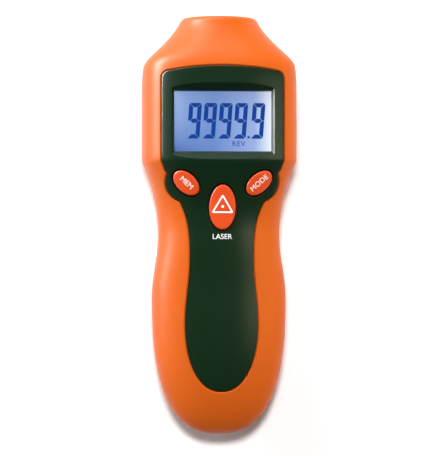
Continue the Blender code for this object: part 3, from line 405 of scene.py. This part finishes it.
def halfBody(name, side, inset=0.0, base=parting, coarse=False, finish=None):  # side 1 in front, -1 behind
    sides = body["cavitySides"] if coarse else body["sides"]
    rings = []
    for y in stations(inset, coarse):
        width = halfWidth(y, inset)
        rise = frontRise(y, inset) if side > 0 else rearDrop(y, inset)
        power = frontPower(y) if side > 0 else sectionPower(y, body["rearPower"])
        ring = []
        for i in range(sides + 1):
            across, up = math.cos(math.pi * i / sides), math.sin(math.pi * i / sides)
            x = math.copysign(width * abs(across) ** (2 / power), across)
            z = base + side * rise * max(up, 0.0) ** (2 / power)
            ring.append((x, y, max(z, inset) if side < 0 else z))
        rings.append(ring)
    return loft(name, rings, finish)


# Outlines of the panel and the keys

panel = {
    "drop": 0.2, "thickness": 1.0, "sideMargin": 6.4, "topMargin": 2.3, "bottomMargin": 17.1, "topBow": 1.8,
    "corner": 3.0, "slopeWidth": 1.8, "slopeLength": 4.7,
    "lobeMargin": 1.8, "lobeRise": 0.6, "lobeEnd": 72.0,
    "waistWidth": 24.3, "waistShift": 9.3, "gripWidth": 27.8, "gripShift": 9.2, "tailPower": 2.2,
    "edgeRadius": 0.35, "lipRadius": 0.4, "edgeSteps": 4,
}
outlineSteps = {
    "bow": 20, "corner": 12, "side": 15, "slope": 4, "lobe": 24, "belowLobe": 18, "waist": 16, "tail": 28,
}
keySizes = {
    "sideSpacing": 8.55, "sideDrop": 8.5, "sideLength": 11.9, "sideWidth": 7.5, "sideTurn": 42.0,
    "measureDrop": 9.1, "measureLength": 17.4, "measureWidth": 10.5,
    "rise": 1.0, "rim": 0.7, "clearance": 0.4, "flange": 1.2, "flangeThickness": 1.0, "stemRadius": 1.6,
    "crown": 0.25, "sides": 96, "holeRadius": 0.3, "inset": 0.2, "rimSteps": 6,
    "topShares": (0.85, 0.7, 0.55, 0.4, 0.25, 0.1),
}
panelHalf = body["headWidth"] / 2 - panel["sideMargin"]
panelTopY = shoulderY - panel["topMargin"]
panelBottomY = panel["bottomMargin"] - halfLength
panelWaistY = waistY - panel["waistShift"]
panelGripY = gripY - panel["gripShift"]
sideKeyX = keySizes["measureWidth"] / 2 + keySizes["sideSpacing"]
sideKeyY = headBottomY - keySizes["sideDrop"]
measureKeyY = sideKeyY - keySizes["measureDrop"]
lobeRadius = keySizes["sideLength"] / 2 + panel["lobeMargin"]
lobeY = sideKeyY + panel["lobeRise"]
sideKeySize = (keySizes["sideLength"], keySizes["sideWidth"])
keys = {
    "memory_key": ((-sideKeyX, sideKeyY), *sideKeySize, -keySizes["sideTurn"]),
    "mode_key": ((sideKeyX, sideKeyY), *sideKeySize, keySizes["sideTurn"]),
    "measure_key": ((0.0, measureKeyY), keySizes["measureLength"], keySizes["measureWidth"], 90.0),
}


def panelStrip(y, grow):
    half = panel["gripWidth"] / 2
    if y <= panelGripY:
        reach = panelGripY - panelBottomY + grow
        return (half + grow) * arch((panelGripY - y) / reach, panel["tailPower"])
    if y <= panelWaistY:
        return ease(panel["waistWidth"] / 2, half, (panelWaistY - y) / (panelWaistY - panelGripY)) + grow
    end = math.radians(panel["lobeEnd"])
    joinX, joinY = sideKeyX + lobeRadius * math.cos(end), lobeY - lobeRadius * math.sin(end)
    t = (y - panelWaistY) / (joinY - panelWaistY)
    return panel["waistWidth"] / 2 + (joinX - panel["waistWidth"] / 2) * t ** 3 + grow


def panelOutline(grow=0.0):
    cornerX = panelHalf - panel["corner"]
    start = math.pi / 2 - math.atan(2 * panel["topBow"] / cornerX)
    bowEnd = cornerX + panel["corner"] * math.cos(start)
    cornerY = panelTopY - panel["topBow"] * (bowEnd / cornerX) ** 2 - panel["corner"] * math.sin(start)
    right = []
    for i in range(outlineSteps["bow"]):
        x = bowEnd * i / outlineSteps["bow"]
        right.append((x, panelTopY - panel["topBow"] * (x / cornerX) ** 2 + grow))
    for i in range(outlineSteps["corner"] + 1):
        turn = start * (1 - i / outlineSteps["corner"])
        radius = panel["corner"] + grow
        right.append((cornerX + radius * math.cos(turn), cornerY + radius * math.sin(turn)))
    for i in range(1, outlineSteps["side"] + 1):
        right.append((panelHalf + grow, cornerY + (headBottomY - cornerY) * i / outlineSteps["side"]))
    cuspX, cuspY = panelHalf - panel["slopeWidth"], headBottomY - panel["slopeLength"]
    cusp = math.atan2(cuspY - lobeY, cuspX - sideKeyX)
    for i in range(1, outlineSteps["slope"]):
        t = i / outlineSteps["slope"]
        right.append((panelHalf + grow - panel["slopeWidth"] * t, headBottomY - panel["slopeLength"] * t))
    end = -math.radians(panel["lobeEnd"])
    for i in range(outlineSteps["lobe"] + 1):
        turn = cusp + (end - cusp) * i / outlineSteps["lobe"]
        radius = lobeRadius + grow
        right.append((sideKeyX + radius * math.cos(turn), lobeY + radius * math.sin(turn)))
    startY = right[-1][1]
    for i in range(1, outlineSteps["belowLobe"] + 1):
        y = startY + (panelWaistY - startY) * i / outlineSteps["belowLobe"]
        right.append((panelStrip(y, grow), y))
    for i in range(1, outlineSteps["waist"] + 1):
        y = panelWaistY + (panelGripY - panelWaistY) * i / outlineSteps["waist"]
        right.append((panelStrip(y, grow), y))
    reach = panelGripY - panelBottomY + grow
    for i in range(1, outlineSteps["tail"]):
        y = panelGripY - reach * math.sin(math.pi / 2 * i / outlineSteps["tail"])
        right.append((panelStrip(y, grow), y))
    left = [(-x, y) for x, y in reversed(right) if x > 0]
    return right + [(0.0, panelBottomY - grow)] + left


def keyOutline(key, grow=0.0):
    (cx, cy), length, width, turn = key
    angle = math.radians(turn)
    points = []
    for i in range(keySizes["sides"]):
        step = 2 * math.pi * i / keySizes["sides"]
        along, across = (length / 2 + grow) * math.cos(step), (width / 2 + grow) * math.sin(step)
        x = cx + along * math.cos(angle) - across * math.sin(angle)
        points.append((x, cy + along * math.sin(angle) + across * math.cos(angle)))
    return points


def faceCutter(name, outline, grow, inset, flareRadius):
    # a cutter whose sides open out in a round lip where they come through the face
    def ring(more, drop):
        return [(x, y, faceZ(x, y, inset) - drop) for x, y in outline(grow + more)]
    rings = [[(x, y, cutterLowZ) for x, y in outline(grow)]]
    for i in range(panel["edgeSteps"] + 1):
        a = math.pi / 2 * i / panel["edgeSteps"]
        rings.append(ring(flareRadius * (1 - math.cos(a)), flareRadius * (1 - math.sin(a))))
    rings.append([(x, y, far) for x, y, z in rings[-1]])
    return loft(name, rings)


print("forms ready")

# Display sizes

view = {
    "sideMargin": 4.8, "topMargin": 11.7, "bottomMargin": 3.5, "depth": 3.3, "frame": 3.4,
    "windowThickness": 1.0, "boardDepth": 6.2, "over": 2.0, "lip": (0.15, 0.06), "flare": 1.9,
}
viewX = panelHalf - view["sideMargin"]
viewHeight = body["headLength"] - view["topMargin"] - view["bottomMargin"]
viewY = headBottomY + view["bottomMargin"] + viewHeight / 2
viewFloorZ = body["headThickness"] - panel["drop"] - view["depth"]
frameX, frameY = viewX + view["frame"], viewHeight / 2 + view["frame"]
crystalTopZ = viewFloorZ - gap - view["windowThickness"] - gap
boardTopZ = body["waistThickness"] - wall - view["boardDepth"]


def viewBox(name, grow, z):
    x, y = frameX + grow, frameY + grow
    return block(name, (-x, x), (viewY - y, viewY + y), z)


# Cases

caseScrew = {
    "radius": 1.1, "headRadius": 2.0, "headHeight": 1.6, "seatZ": 8.0, "reach": 8.0, "bossRadius": 3.1,
    "headMargin": 8.5, "headDrop": 3.0, "waistMargin": 6.1, "waistDrop": 2.1,
    "recessWidth": 0.75, "recessSpan": 2.5, "recessDepth": 1.0, "recessOver": 1.0,
    "turns": 8, "plainShank": 2.0, "rootShare": 0.82, "tipShare": 0.3,
    "headCurve": [(1.0, 0.55), (0.93, 0.78), (0.75, 0.94), (0.5, 1.0), (0.0, 1.0)],
}
battery = {"length": 46.4, "width": 26.5, "tailMargin": 17.8, "ribShares": (0.28, 0.72), "ribTop": 18.0}
door = {
    "width": 28.4, "margin": 3.6, "splitZ": 5.6,
    "tongue": 1.2, "tongueThickness": 1.0, "tongueLength": 24.0, "tongueStart": 2.2,
    "ribThickness": 1.4, "ribWidth": 20.0, "grooveDepth": 0.5, "grooveWidth": 1.0,
    "groovePitch": 2.2, "grooveCount": 5, "gripWidth": 16.0, "gripY": -20.0,
    "grooveEnd": 1.0, "grooveEndShare": 0.6,
}
batteryHeadY = battery["tailMargin"] + battery["length"] - halfLength
doorTopY = batteryHeadY + door["margin"]
tongueTopY = doorTopY - door["tongueStart"]
tongueHigh = door["splitZ"] - gap
tongueLow = tongueHigh - door["tongueThickness"]
ribYs = [batteryHeadY - battery["length"] * (1 - share) for share in battery["ribShares"]]
screwPlaces = []
for x, y in ((body["headWidth"] / 2 - caseScrew["headMargin"], shoulderY - caseScrew["headDrop"]),
             (body["waistWidth"] / 2 - caseScrew["waistMargin"], waistY - caseScrew["waistDrop"])):
    screwPlaces += [(-x, y), (x, y)]


def addInside(shell, piece, side):
    keepInside(piece, halfBody("trim", side, wall / 2, coarse=True))
    return join(shell, piece)


def makeFrontShell():
    base = parting + gap / 2
    shell = halfBody("frontShell", 1, base=base, finish=orangeAbs)
    cut(shell, halfBody("frontCavity", 1, wall, coarse=True))
    for x, y in screwPlaces:
        addInside(shell, post("boss", x, y, (base, far), caseScrew["bossRadius"]), 1)
    recess = faceCutter("recess", panelOutline, gap, 0.0, panel["lipRadius"])
    cut(recess, halfBody("recessFloor", 1, panel["drop"] + panel["thickness"] + gap, coarse=True))
    cut(shell, recess)
    cut(shell, viewBox("viewOpening", gap, (boardTopZ, far)))
    for name, key in keys.items():
        cut(shell, prism("keyHole", keyOutline(key, keySizes["clearance"]), parting, far))
    for x, y in screwPlaces:
        top = caseScrew["seatZ"] + caseScrew["headHeight"] + parting
        cut(shell, post("pilot", x, y, (0.0, top), caseScrew["radius"] + gap))
    dress(shade(shell), "housing", "orange_shell", "front_case")


def makeRearShell():
    base = parting - gap / 2
    shell = halfBody("rearShell", -1, base=base, finish=orangeAbs)
    cut(shell, halfBody("rearCavity", -1, wall, coarse=True))
    for x, y in screwPlaces:
        addInside(shell, post("boss", x, y, (0.0, base), caseScrew["bossRadius"]), -1)
    inner = battery["width"] / 2 + gap
    for y in ribYs:
        span = (y - door["ribThickness"] / 2, y + door["ribThickness"] / 2)
        for side in (-1, 1):
            reach = sorted((side * inner, side * body["gripWidth"] / 2))
            addInside(shell, block("rib", reach, span, (door["splitZ"] + 2 * gap, battery["ribTop"])), -1)
    half = door["width"] / 2 + gap
    cut(shell, block("doorOpening", (-half, half), (-far, doorTopY + gap), (-far, door["splitZ"] + gap)))
    groove = half + door["tongue"]
    slot = (tongueLow - gap, tongueHigh + gap)
    cut(shell, block("groove", (-groove, groove), (-far, tongueTopY + gap), slot))
    for x, y in screwPlaces:
        cut(shell, post("through", x, y, (-far, far), caseScrew["radius"] + gap))
        cut(shell, post("counterbore", x, y, (-far, caseScrew["seatZ"]), caseScrew["headRadius"] + gap))
    dress(shade(shell), "housing", "orange_shell", "rear_case")


def makeDoor():
    half = door["width"] / 2
    lid = halfBody("batteryDoorShell", -1, finish=orangeAbs)
    keepInside(lid, block("doorEdge", (-half, half), (-far, doorTopY), (-far, door["splitZ"])))
    cut(lid, halfBody("doorCavity", -1, wall, coarse=True))
    y = (tongueTopY - door["tongueLength"], tongueTopY)
    inner = half - door["tongue"]
    for side in (-1, 1):
        join(lid, block("web", sorted((side * inner, side * half)), y, (wall / 2, tongueHigh)))
        reach = sorted((side * inner, side * (half + door["tongue"])))
        join(lid, block("tongue", reach, y, (tongueLow, tongueHigh)))
    wide = (-door["ribWidth"] / 2, door["ribWidth"] / 2)
    for y in ribYs:
        span = (y - door["ribThickness"] / 2, y + door["ribThickness"] / 2)
        join(lid, block("doorRib", wide, span, (wall / 2, door["splitZ"])))
    for i in range(door["grooveCount"]):
        y = door["gripY"] - i * door["groovePitch"]
        reach = door["gripWidth"] / 2
        along = Vector((1, 0, 0))
        place = Vector((0, y - door["grooveWidth"] / 2, 0))
        radius = door["grooveDepth"]
        end, endRadius = door["grooveEnd"], radius * door["grooveEndShare"]
        profile = [(-reach, endRadius), (-reach + end, radius), (reach - end, radius), (reach, endRadius)]
        scoop = turned("gripGroove", profile, along, place, 24)
        cut(lid, scoop)
    dress(shade(lid), "battery_door", "orange_shell", "battery_door")


def makePanel():
    piece = halfBody("darkPanel", 1, panel["drop"], finish=greenAbs)
    radius = panel["edgeRadius"]
    rings = [[(x, y, cutterLowZ) for x, y in panelOutline(0.0)]]
    for i in range(panel["edgeSteps"] + 1):
        a = math.pi / 2 * i / panel["edgeSteps"]
        grow, drop = -radius * (1 - math.cos(a)), radius * (1 - math.sin(a))
        rings.append([(x, y, faceZ(x, y, panel["drop"]) - drop) for x, y in panelOutline(grow)])
    rings.append([(x, y, far) for x, y, z in rings[-1]])
    keepInside(piece, loft("panelEdge", rings))
    under = halfBody("underPanel", 1, panel["drop"] + panel["thickness"], coarse=True)
    cut(under, viewBox("viewFrame", 0.0, (viewFloorZ, far)))
    cut(piece, under)
    rings = []
    mouth = (view["depth"] + view["over"], view["depth"] + view["flare"])
    for depth, spread in ((-view["over"], 0.0), (0.0, 0.0), view["lip"], mouth):
        x, y = viewX + spread, viewHeight / 2 + spread
        corners = ((-x, -y), (x, -y), (x, y), (-x, y))
        rings.append([(cx, viewY + cy, viewFloorZ + depth) for cx, cy in corners])
    cut(piece, loft("viewPocket", rings))
    cut(piece, viewBox("windowSeat", -gap, (0.0, viewFloorZ)))
    cut(piece, viewBox("frameRoom", gap, (0.0, crystalTopZ + gap)))
    for name, key in keys.items():
        def outline(grow, key=key):
            return keyOutline(key, grow)
        grow, radius = keySizes["clearance"], keySizes["holeRadius"]
        cut(piece, faceCutter("keyHole", outline, grow, panel["drop"], radius))
    dress(shade(piece), "housing", "green_panel", "face_panel")


makeFrontShell()
print("front shell made")
makeRearShell()
makeDoor()
print("rear shell and door made")
makePanel()
print("panel made")

# Keys


def keyTopZ(key, x, y):  # the top of a key: the face raised, with a slight crown
    (cx, cy), length, width, turn = key
    angle = math.radians(turn)
    along = (x - cx) * math.cos(angle) + (y - cy) * math.sin(angle)
    across = (y - cy) * math.cos(angle) - (x - cx) * math.sin(angle)
    out = min(1.0, (2 * along / length) ** 2 + (2 * across / width) ** 2)
    return faceZ(x, y, panel["drop"]) + keySizes["rise"] + keySizes["crown"] * (1 - out)


def makeKey(name, pieceName):
    key = keys[name]
    under, flange, rim = wall + gap, keySizes["flangeThickness"], keySizes["rim"]
    spread = keySizes["flange"]
    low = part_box(name)[0].z / mm
    inset = keySizes["inset"]  # a gap shows round the key, made dark by the black painted on the flange below
    hub = (key[0], 2 * keySizes["stemRadius"], 2 * keySizes["stemRadius"], key[3])

    def ring(grow, height):
        return [(x, y, height(x, y)) for x, y in keyOutline(key, grow)]

    neckZ = faceZ(*key[0], under + flange) - gap
    rings = [[(x, y, low) for x, y in keyOutline(hub)], [(x, y, neckZ) for x, y in keyOutline(hub)]]
    rings.append(ring(keySizes["clearance"] - spread, lambda x, y: faceZ(x, y, under + flange)))
    rings.append(ring(spread, lambda x, y: faceZ(x, y, under + flange)))
    rings.append(ring(spread, lambda x, y: faceZ(x, y, under)))
    rings.append(ring(-inset, lambda x, y: faceZ(x, y, under)))
    for i in range(keySizes["rimSteps"] + 1):  # the rounded rim
        a = math.pi / 2 * i / keySizes["rimSteps"]
        drop = rim * (1 - math.sin(a))
        rings.append(ring(-inset - rim * (1 - math.cos(a)), lambda x, y: keyTopZ(key, x, y) - drop))
    topLength, topWidth = key[1] - 2 * (rim + inset), key[2] - 2 * (rim + inset)
    for share in keySizes["topShares"]:  # the top, down to a small cap in its middle
        inner = (key[0], topLength * share, topWidth * share, key[3])
        rings.append([(x, y, keyTopZ(key, x, y)) for x, y in keyOutline(inner)])
    cap = shade(loft(pieceName, rings, keyAbs), 50)
    cap.data.materials.append(blackAbs)  # painted shade: the flange below the panel is given black plastic, so that the gap round the key looks dark
    for face in cap.data.polygons:
        x, y, z = face.center / mm
        if z < faceZ(x, y, panel["drop"] + panel["thickness"] / 2):
            face.material_index = 1
    return dress(cap, name, "orange_key", name)


makeKey("memory_key", "memoryKeyCap")
makeKey("mode_key", "modeKeyCap")
makeKey("measure_key", "measureKeyCap")
print("keys made")

# Print on the keys and the panel

legends = {
    "capHeight": 2.0, "typeScale": 1.42, "spacing": 1.02, "film": 0.05, "lift": 0.03,
    "captionHeight": 1.95, "captionY": -4.0, "signCornerSteps": 8, "signSideSteps": 16,
    "signTop": 12.24, "signBottom": 4.99, "signWidth": 8.6, "signStroke": 0.62, "signCorner": 0.35,
    "dotRadius": 0.56, "dotY": 7.44,
}


def drape(item, height, lift, film):  # bends a flat print onto a surface
    for vertex in item.data.vertices:
        x, y, z = vertex.co / mm
        vertex.co.z = (height(x, y) + lift + (film if z > 0.5 else 0.0)) * mm
    return item


def flatPrint(name, outlines, finish):  # filled outlines, one unit thick before they are draped
    form = bmesh.new()
    for outline in outlines:
        loops = [[form.verts.new(Vector((x, y, z)) * mm) for x, y in outline] for z in (0.0, 1.0)]
        for i in range(len(outline)):
            j = (i + 1) % len(outline)
            form.faces.new((loops[0][i], loops[0][j], loops[1][j], loops[1][i]))
        form.faces.new(loops[0])
        form.faces.new(loops[1])
    return addMesh(name, form, finish)


def words(name, text, size, place, turn, finish, spacing=1.0):  # lettering in the plain built-in type
    line = bpy.data.curves.new(name, "FONT")
    line.body = text
    line.size = size * mm * legends["typeScale"]
    line.align_x = "CENTER"
    line.align_y = "CENTER"
    line.extrude = 0.5 * mm
    line.resolution_u = 4
    line.space_character = spacing
    text3d = bpy.data.objects.new(name + "Curve", line)
    scene.collection.objects.link(text3d)
    bpy.context.view_layer.update()
    mesh = bpy.data.meshes.new_from_object(text3d.evaluated_get(bpy.context.evaluated_depsgraph_get()))
    bpy.data.objects.remove(text3d)
    item = bpy.data.objects.new(name, mesh)
    scene.collection.objects.link(item)
    mesh.materials.clear()
    mesh.materials.append(finish)
    angle = math.radians(turn)
    for vertex in mesh.vertices:
        x, y, z = vertex.co / mm
        rx = place[0] + x * math.cos(angle) - y * math.sin(angle)
        ry = place[1] + x * math.sin(angle) + y * math.cos(angle)
        vertex.co = Vector((rx, ry, z + 0.5)) * mm
    return item


def roundedTriangle(top, bottom, width, corner):
    apex, left, right = Vector((0, top)), Vector((-width / 2, bottom)), Vector((width / 2, bottom))
    points = []
    for before, at, after in ((right, apex, left), (apex, left, right), (left, right, apex)):
        into, out = (before - at).normalized(), (after - at).normalized()
        for i in range(legends["signCornerSteps"] + 1):
            t = i / legends["signCornerSteps"]
            points.append(at + into * corner * (1 - t) ** 2 + out * corner * t ** 2)
        run = (after - at).length - 2 * corner
        for i in range(1, legends["signSideSteps"]):  # the straight side has to follow the crown
            points.append(at + out * (corner + run * i / legends["signSideSteps"]))
    return [(p.x, p.y) for p in points]


def makeSign():
    key = keys["measure_key"]
    stroke = legends["signStroke"]
    top, bottom, width = legends["signTop"], legends["signBottom"], legends["signWidth"]
    slope = math.atan2(top - bottom, width / 2)
    shrinkX = 2 * stroke * (1 / math.sin(slope) + 1 / math.tan(slope))
    corner = legends["signCorner"]
    outer = roundedTriangle(top, bottom, width, corner + stroke)
    inner = roundedTriangle(top - stroke / math.cos(slope), bottom + stroke, width - shrinkX, corner)
    count = len(outer)
    rings = []
    for i in range(count):
        (ox, oy), (ix, iy) = outer[i], inner[i]
        rings.append([(ox, oy, 0.0), (ix, iy, 0.0), (ix, iy, 1.0), (ox, oy, 1.0)])
    frameSign = loft("laserSignFrame", rings, printInk, closed=True)
    radius, dot = legends["dotRadius"], []
    for i in range(24):
        a = 2 * math.pi * i / 24
        dot.append((radius * math.cos(a), legends["dotY"] + radius * math.sin(a)))
    dotPiece = flatPrint("laserSignDot", [dot], printInk)
    for piece in (frameSign, dotPiece):
        drape(piece, lambda x, y: keyTopZ(key, x, y), legends["lift"], legends["film"])
        dress(piece, "measure_key", "white_plastic")


def makeLegend(name, text, pieceName):
    key = keys[name]
    item = words(pieceName, text, legends["capHeight"], key[0], key[3], printInk, legends["spacing"])
    drape(item, lambda x, y: keyTopZ(key, x, y), legends["lift"], legends["film"])
    dress(item, name, "white_plastic")


makeLegend("memory_key", "MEM", "memoryLegend")
makeLegend("mode_key", "MODE", "modeLegend")
makeSign()
captionPlace = (0.0, legends["captionY"])
caption = words("laserCaption", "LASER", legends["captionHeight"], captionPlace, 0.0, printInk)
drape(caption, lambda x, y: faceZ(x, y, panel["drop"]), legends["lift"], legends["film"])
dress(caption, "housing", "white_plastic")
print("legends made")

# Display digits

digits = {
    "width": 4.8, "height": 13.47, "stroke": 1.6, "gap": 0.07, "chamfer": 0.6, "slant": 0.075,
    "count": 5, "left": -13.6, "bottom": 33.14, "pitch": 5.85, "film": 0.06, "lift": 0.02,
    "pointGap": 0.72, "pointSize": 0.85, "pointBack": 0.34, "pointRise": 0.1,
    "unitHeight": 1.9, "unitX": 6.1, "unitY": 31.13, "unitSpacing": 1.16,
}


def segmentShapes():  # the strokes of a nine, in a cell from 0 to width and 0 to height
    w, h, s, g, c = (digits[k] for k in ("width", "height", "stroke", "gap", "chamfer"))
    m = g * math.sqrt(2)
    mid = h / 2
    top = [(c, h), (w - c, h), (w - c / 2 - m, h - c / 2), (w - s - m, h - s), (s + m, h - s),
           (c / 2 + m, h - c / 2)]
    upperLeft = [(0, mid + g), (0, h - c), (c / 2, h - c / 2 - m), (s, h - s - m), (s, mid + s / 2 + g),
                 (s / 2, mid + g)]
    upperRight = [(w - x, y) for x, y in upperLeft]
    lowerRight = [(x, h - y) for x, y in upperRight]
    middle = [(s / 2 + m, mid), (s + m, mid + s / 2), (w - s - m, mid + s / 2), (w - s / 2 - m, mid),
              (w - s - m, mid - s / 2), (s + m, mid - s / 2)]
    bottom = [(x, h - y) for x, y in top]
    return [top, upperLeft, upperRight, middle, lowerRight, bottom]


def makeReading():
    outlines = []
    last = digits["count"] - 1
    for number in range(digits["count"]):
        left = digits["left"] + number * digits["pitch"] + (digits["pointGap"] if number == last else 0.0)
        for shape in segmentShapes():
            outlines.append([(left + x + digits["slant"] * y, digits["bottom"] + y) for x, y in shape])
    x = digits["left"] + last * digits["pitch"] - digits["pointBack"]
    size = digits["pointSize"]
    y = digits["bottom"] + digits["pointRise"]
    outlines.append([(x, y), (x + size, y), (x + size, y + size), (x, y + size)])
    reading = flatPrint("displayReading", outlines, segmentInk)
    place, spacing = (digits["unitX"], digits["unitY"]), digits["unitSpacing"]
    unit = words("displayUnit", "REV", digits["unitHeight"], place, 0.0, segmentInk, spacing)
    for piece in (reading, unit):
        drape(piece, lambda x, y: crystalTopZ, digits["lift"], digits["film"])
        dress(piece, "housing", "lcd")


makeReading()
print("reading made")

# Nose and screws

nose = {
    "bezelLength": 4.2, "bezelWidth": 2.2, "recess": 1.8, "seat": 1.0, "glass": 1.2, "edge": 0.3,
    "crown": 0.25, "crownSteps": 7, "sides": 96,
}


def makeNose():
    outer = body["noseWidth"] / 2 - wall - gap
    end = halfLength - nose["recess"]
    start = end - nose["bezelLength"] + gap
    hole = outer - nose["bezelWidth"]
    seatR = hole + nose["seat"]
    e = nose["edge"]
    seatY = end - nose["glass"] - 2 * gap
    section = [(start, hole), (start, outer), (end - e, outer), (end - e / 3, outer - e / 3),
               (end, outer - e), (end, seatR + gap + e), (end - e, seatR + gap), (seatY, seatR + gap),
               (seatY, hole)]
    sides = nose["sides"]
    rings = []
    for i in range(sides):
        a = 2 * math.pi * i / sides
        rings.append([(r * math.cos(a), y, parting + r * math.sin(a)) for y, r in section])
    dress(shade(loft("noseRing", rings, blackAbs, closed=True)), "housing", "black_plastic", "nose_bezel")
    back = seatY + gap
    profile = [(0.0, seatR), (nose["glass"] - e, seatR)]
    for i in range(1, nose["crownSteps"]):
        r = (seatR - e / 2) * (1 - i / nose["crownSteps"])
        profile.append((nose["glass"] - e + nose["crown"] * (1 - (r / seatR) ** 2) + e / 2, r))
    glass = turned("noseGlass", profile, Vector((0, 1, 0)), Vector((0, back, parting)), sides, redAcrylic)
    dress(shade(glass), "housing", "dark_window", "nose_window")


def makeCaseScrews():
    seat = caseScrew["seatZ"] - gap
    head, headR = caseScrew["headHeight"], caseScrew["headRadius"]
    reach = parting + caseScrew["reach"]
    shank = caseScrew["radius"]
    half, span = caseScrew["recessWidth"] / 2, caseScrew["recessSpan"] / 2
    for number, (x, y) in enumerate(screwPlaces, 1):
        profile = [(seat - head * up, headR * out) for up, out in caseScrew["headCurve"]] + [(seat, shank)]
        count = caseScrew["turns"] * 2
        threadStart, threadEnd = seat + caseScrew["plainShank"], reach - shank
        for i in range(count + 1):
            z = threadStart + (threadEnd - threadStart) * i / count
            profile.append((z, shank if i % 2 else shank * caseScrew["rootShare"]))
        profile.append((reach, shank * caseScrew["tipShare"]))
        screw = turned(f"caseScrew{number}", profile, Vector((0, 0, 1)), Vector((x, y, 0)), 48, zincSteel)
        low = (seat - head - caseScrew["recessOver"], seat - head + caseScrew["recessDepth"])
        for sx, sy in ((span, half), (half, span)):
            cut(screw, block("recess", (x - sx, x + sx), (y - sy, y + sy), low))
        dress(shade(screw), "housing", "steel", f"case_screw_{number}")


makeNose()
makeCaseScrews()
print("nose and screws made")

# Finishes of the pieces that keep their shape

finishes = {
    "display_window": clearAcrylic, "lcd_glass": paintedLightCrystal, "lcd_frame": whiteDiffuser,
    "backlight": whiteDiffuser, "zebra_strip_upper": greyRubber, "zebra_strip_lower": greyRubber,
    "main_board": boardLaminate, "sensor_board": boardLaminate, "microcontroller": blackAbs,
    "crystal": zincSteel,
    "capacitor_left": sleeveFoil, "capacitor_right": sleeveFoil, "optics_holder": blackAbs,
    "laser_module": brass, "laser_lens": lensGlass, "receiver_lens": lensGlass, "photodiode": blackAbs,
    "battery": sleeveFoil, "battery_snap": blackAbs, "lead_red": redWire, "lead_black": blackAbs,
}
for label in ("memory", "mode", "measure"):
    finishes[label + "_switch"] = blackAbs
    finishes[label + "_plunger"] = greyRubber
for number in range(1, 5):
    finishes[f"board_screw_{number}"] = zincSteel
for name, finish in finishes.items():
    nodes[name].data.materials.clear()
    nodes[name].data.materials.append(finish)
print("inner pieces finished")

# Floor, camera and light

photo = {
    "width": 438, "pixelsPerMm": 2.593, "roll": 4.7, "distance": 908.0, "aim": (0.08, -0.68, 20.0),
    "sensorWidth": 36.0, "clip": (0.01, 20.0),
}
studio = {
    "floor": "#f7f7f7", "floorShade": "#f4f4f4", "floorDrift": 300.0, "floorSize": 3000.0, "floorDepth": 5.0,
    "air": "#ffffff", "airStrength": 0.06, "veilColour": "#ffefcf",
}
lights = {  # place, size, watts, and whether it gives soft light, sheen or both
    "aboveLight": ((-68, 155, 900), (120, 110), 8.2, "soft"),  # the shadow below the tail
    "noseLight": ((-350, 680, 400), (400, 300), 3.0, "both"),
    "leftLight": ((-680, 330, 110), (500, 200), 4.8, "both"),
    "rightLight": ((660, 330, 110), (500, 200), 4.3, "soft"),
    "veilLight": ((620, 0, 620), (260, 900), 2.3, "sheen"),  # on the right of the panel
    "edgeLight": ((-700, 420, 130), (700, 180), 42.0, "sheen"),  # on the left flank
    "browLight": ((-120, 820, 330), (500, 300), 6.0, "sheen"),  # on the brow of the nose
}


def makeFloor():
    finish, tree, shader = newFinish("floorPaper", {"Roughness": 0.9})
    place = addNode(tree, "ShaderNodeTexCoord").outputs["Object"]
    drift = addNode(tree, "ShaderNodeTexNoise", {"Scale": 1 / (studio["floorDrift"] * mm)}, {"Vector": place})
    tint = addNode(tree, "ShaderNodeMix", {"data_type": "RGBA", 6: hexColour(studio["floor"]),
                   7: hexColour(studio["floorShade"])}, {0: drift.outputs["Fac"]})
    tree.links.new(tint.outputs[2], shader.inputs["Base Color"])
    half = studio["floorSize"] / 2
    block("floor", (-half, half), (-half, half), (-studio["floorDepth"], 0.0), finish)


def softLight(name, place, size, power, gives):
    lamp = bpy.data.lights.new(name, "AREA")
    lamp.shape = "RECTANGLE"
    lamp.size, lamp.size_y = size[0] * mm, size[1] * mm
    lamp.energy = power
    item = bpy.data.objects.new(name, lamp)
    item.location = Vector(place) * mm
    back = item.location - Vector((0, 0, parting)) * mm
    item.rotation_euler = back.to_track_quat("Z", "Y").to_euler()
    item.visible_glossy = gives != "soft"
    item.visible_diffuse = gives != "sheen"
    scene.collection.objects.link(item)


def makeCamera():
    roll = math.radians(photo["roll"])
    lens = bpy.data.cameras.new("camera")
    lens.sensor_fit = "HORIZONTAL"
    lens.sensor_width = photo["sensorWidth"]
    lens.lens = lens.sensor_width * photo["distance"] / (photo["width"] / photo["pixelsPerMm"])
    lens.clip_start, lens.clip_end = photo["clip"]
    camera = bpy.data.objects.new("camera", lens)
    back = Vector((-math.sin(roll), 0, math.cos(roll)))
    camera.location = (Vector(photo["aim"]) + back * photo["distance"]) * mm
    camera.rotation_euler = (0, -roll, 0)
    scene.collection.objects.link(camera)
    scene.camera = camera


makeFloor()
for name, values in lights.items():
    softLight(name, *values)
bpy.data.lights["veilLight"].color = hexColour(studio["veilColour"])[:3]
makeCamera()
air = bpy.data.worlds.new("air")
air.use_nodes = True
air.node_tree.nodes["Background"].inputs["Color"].default_value = hexColour(studio["air"])
air.node_tree.nodes["Background"].inputs["Strength"].default_value = studio["airStrength"]
scene.world = air
print("studio made")
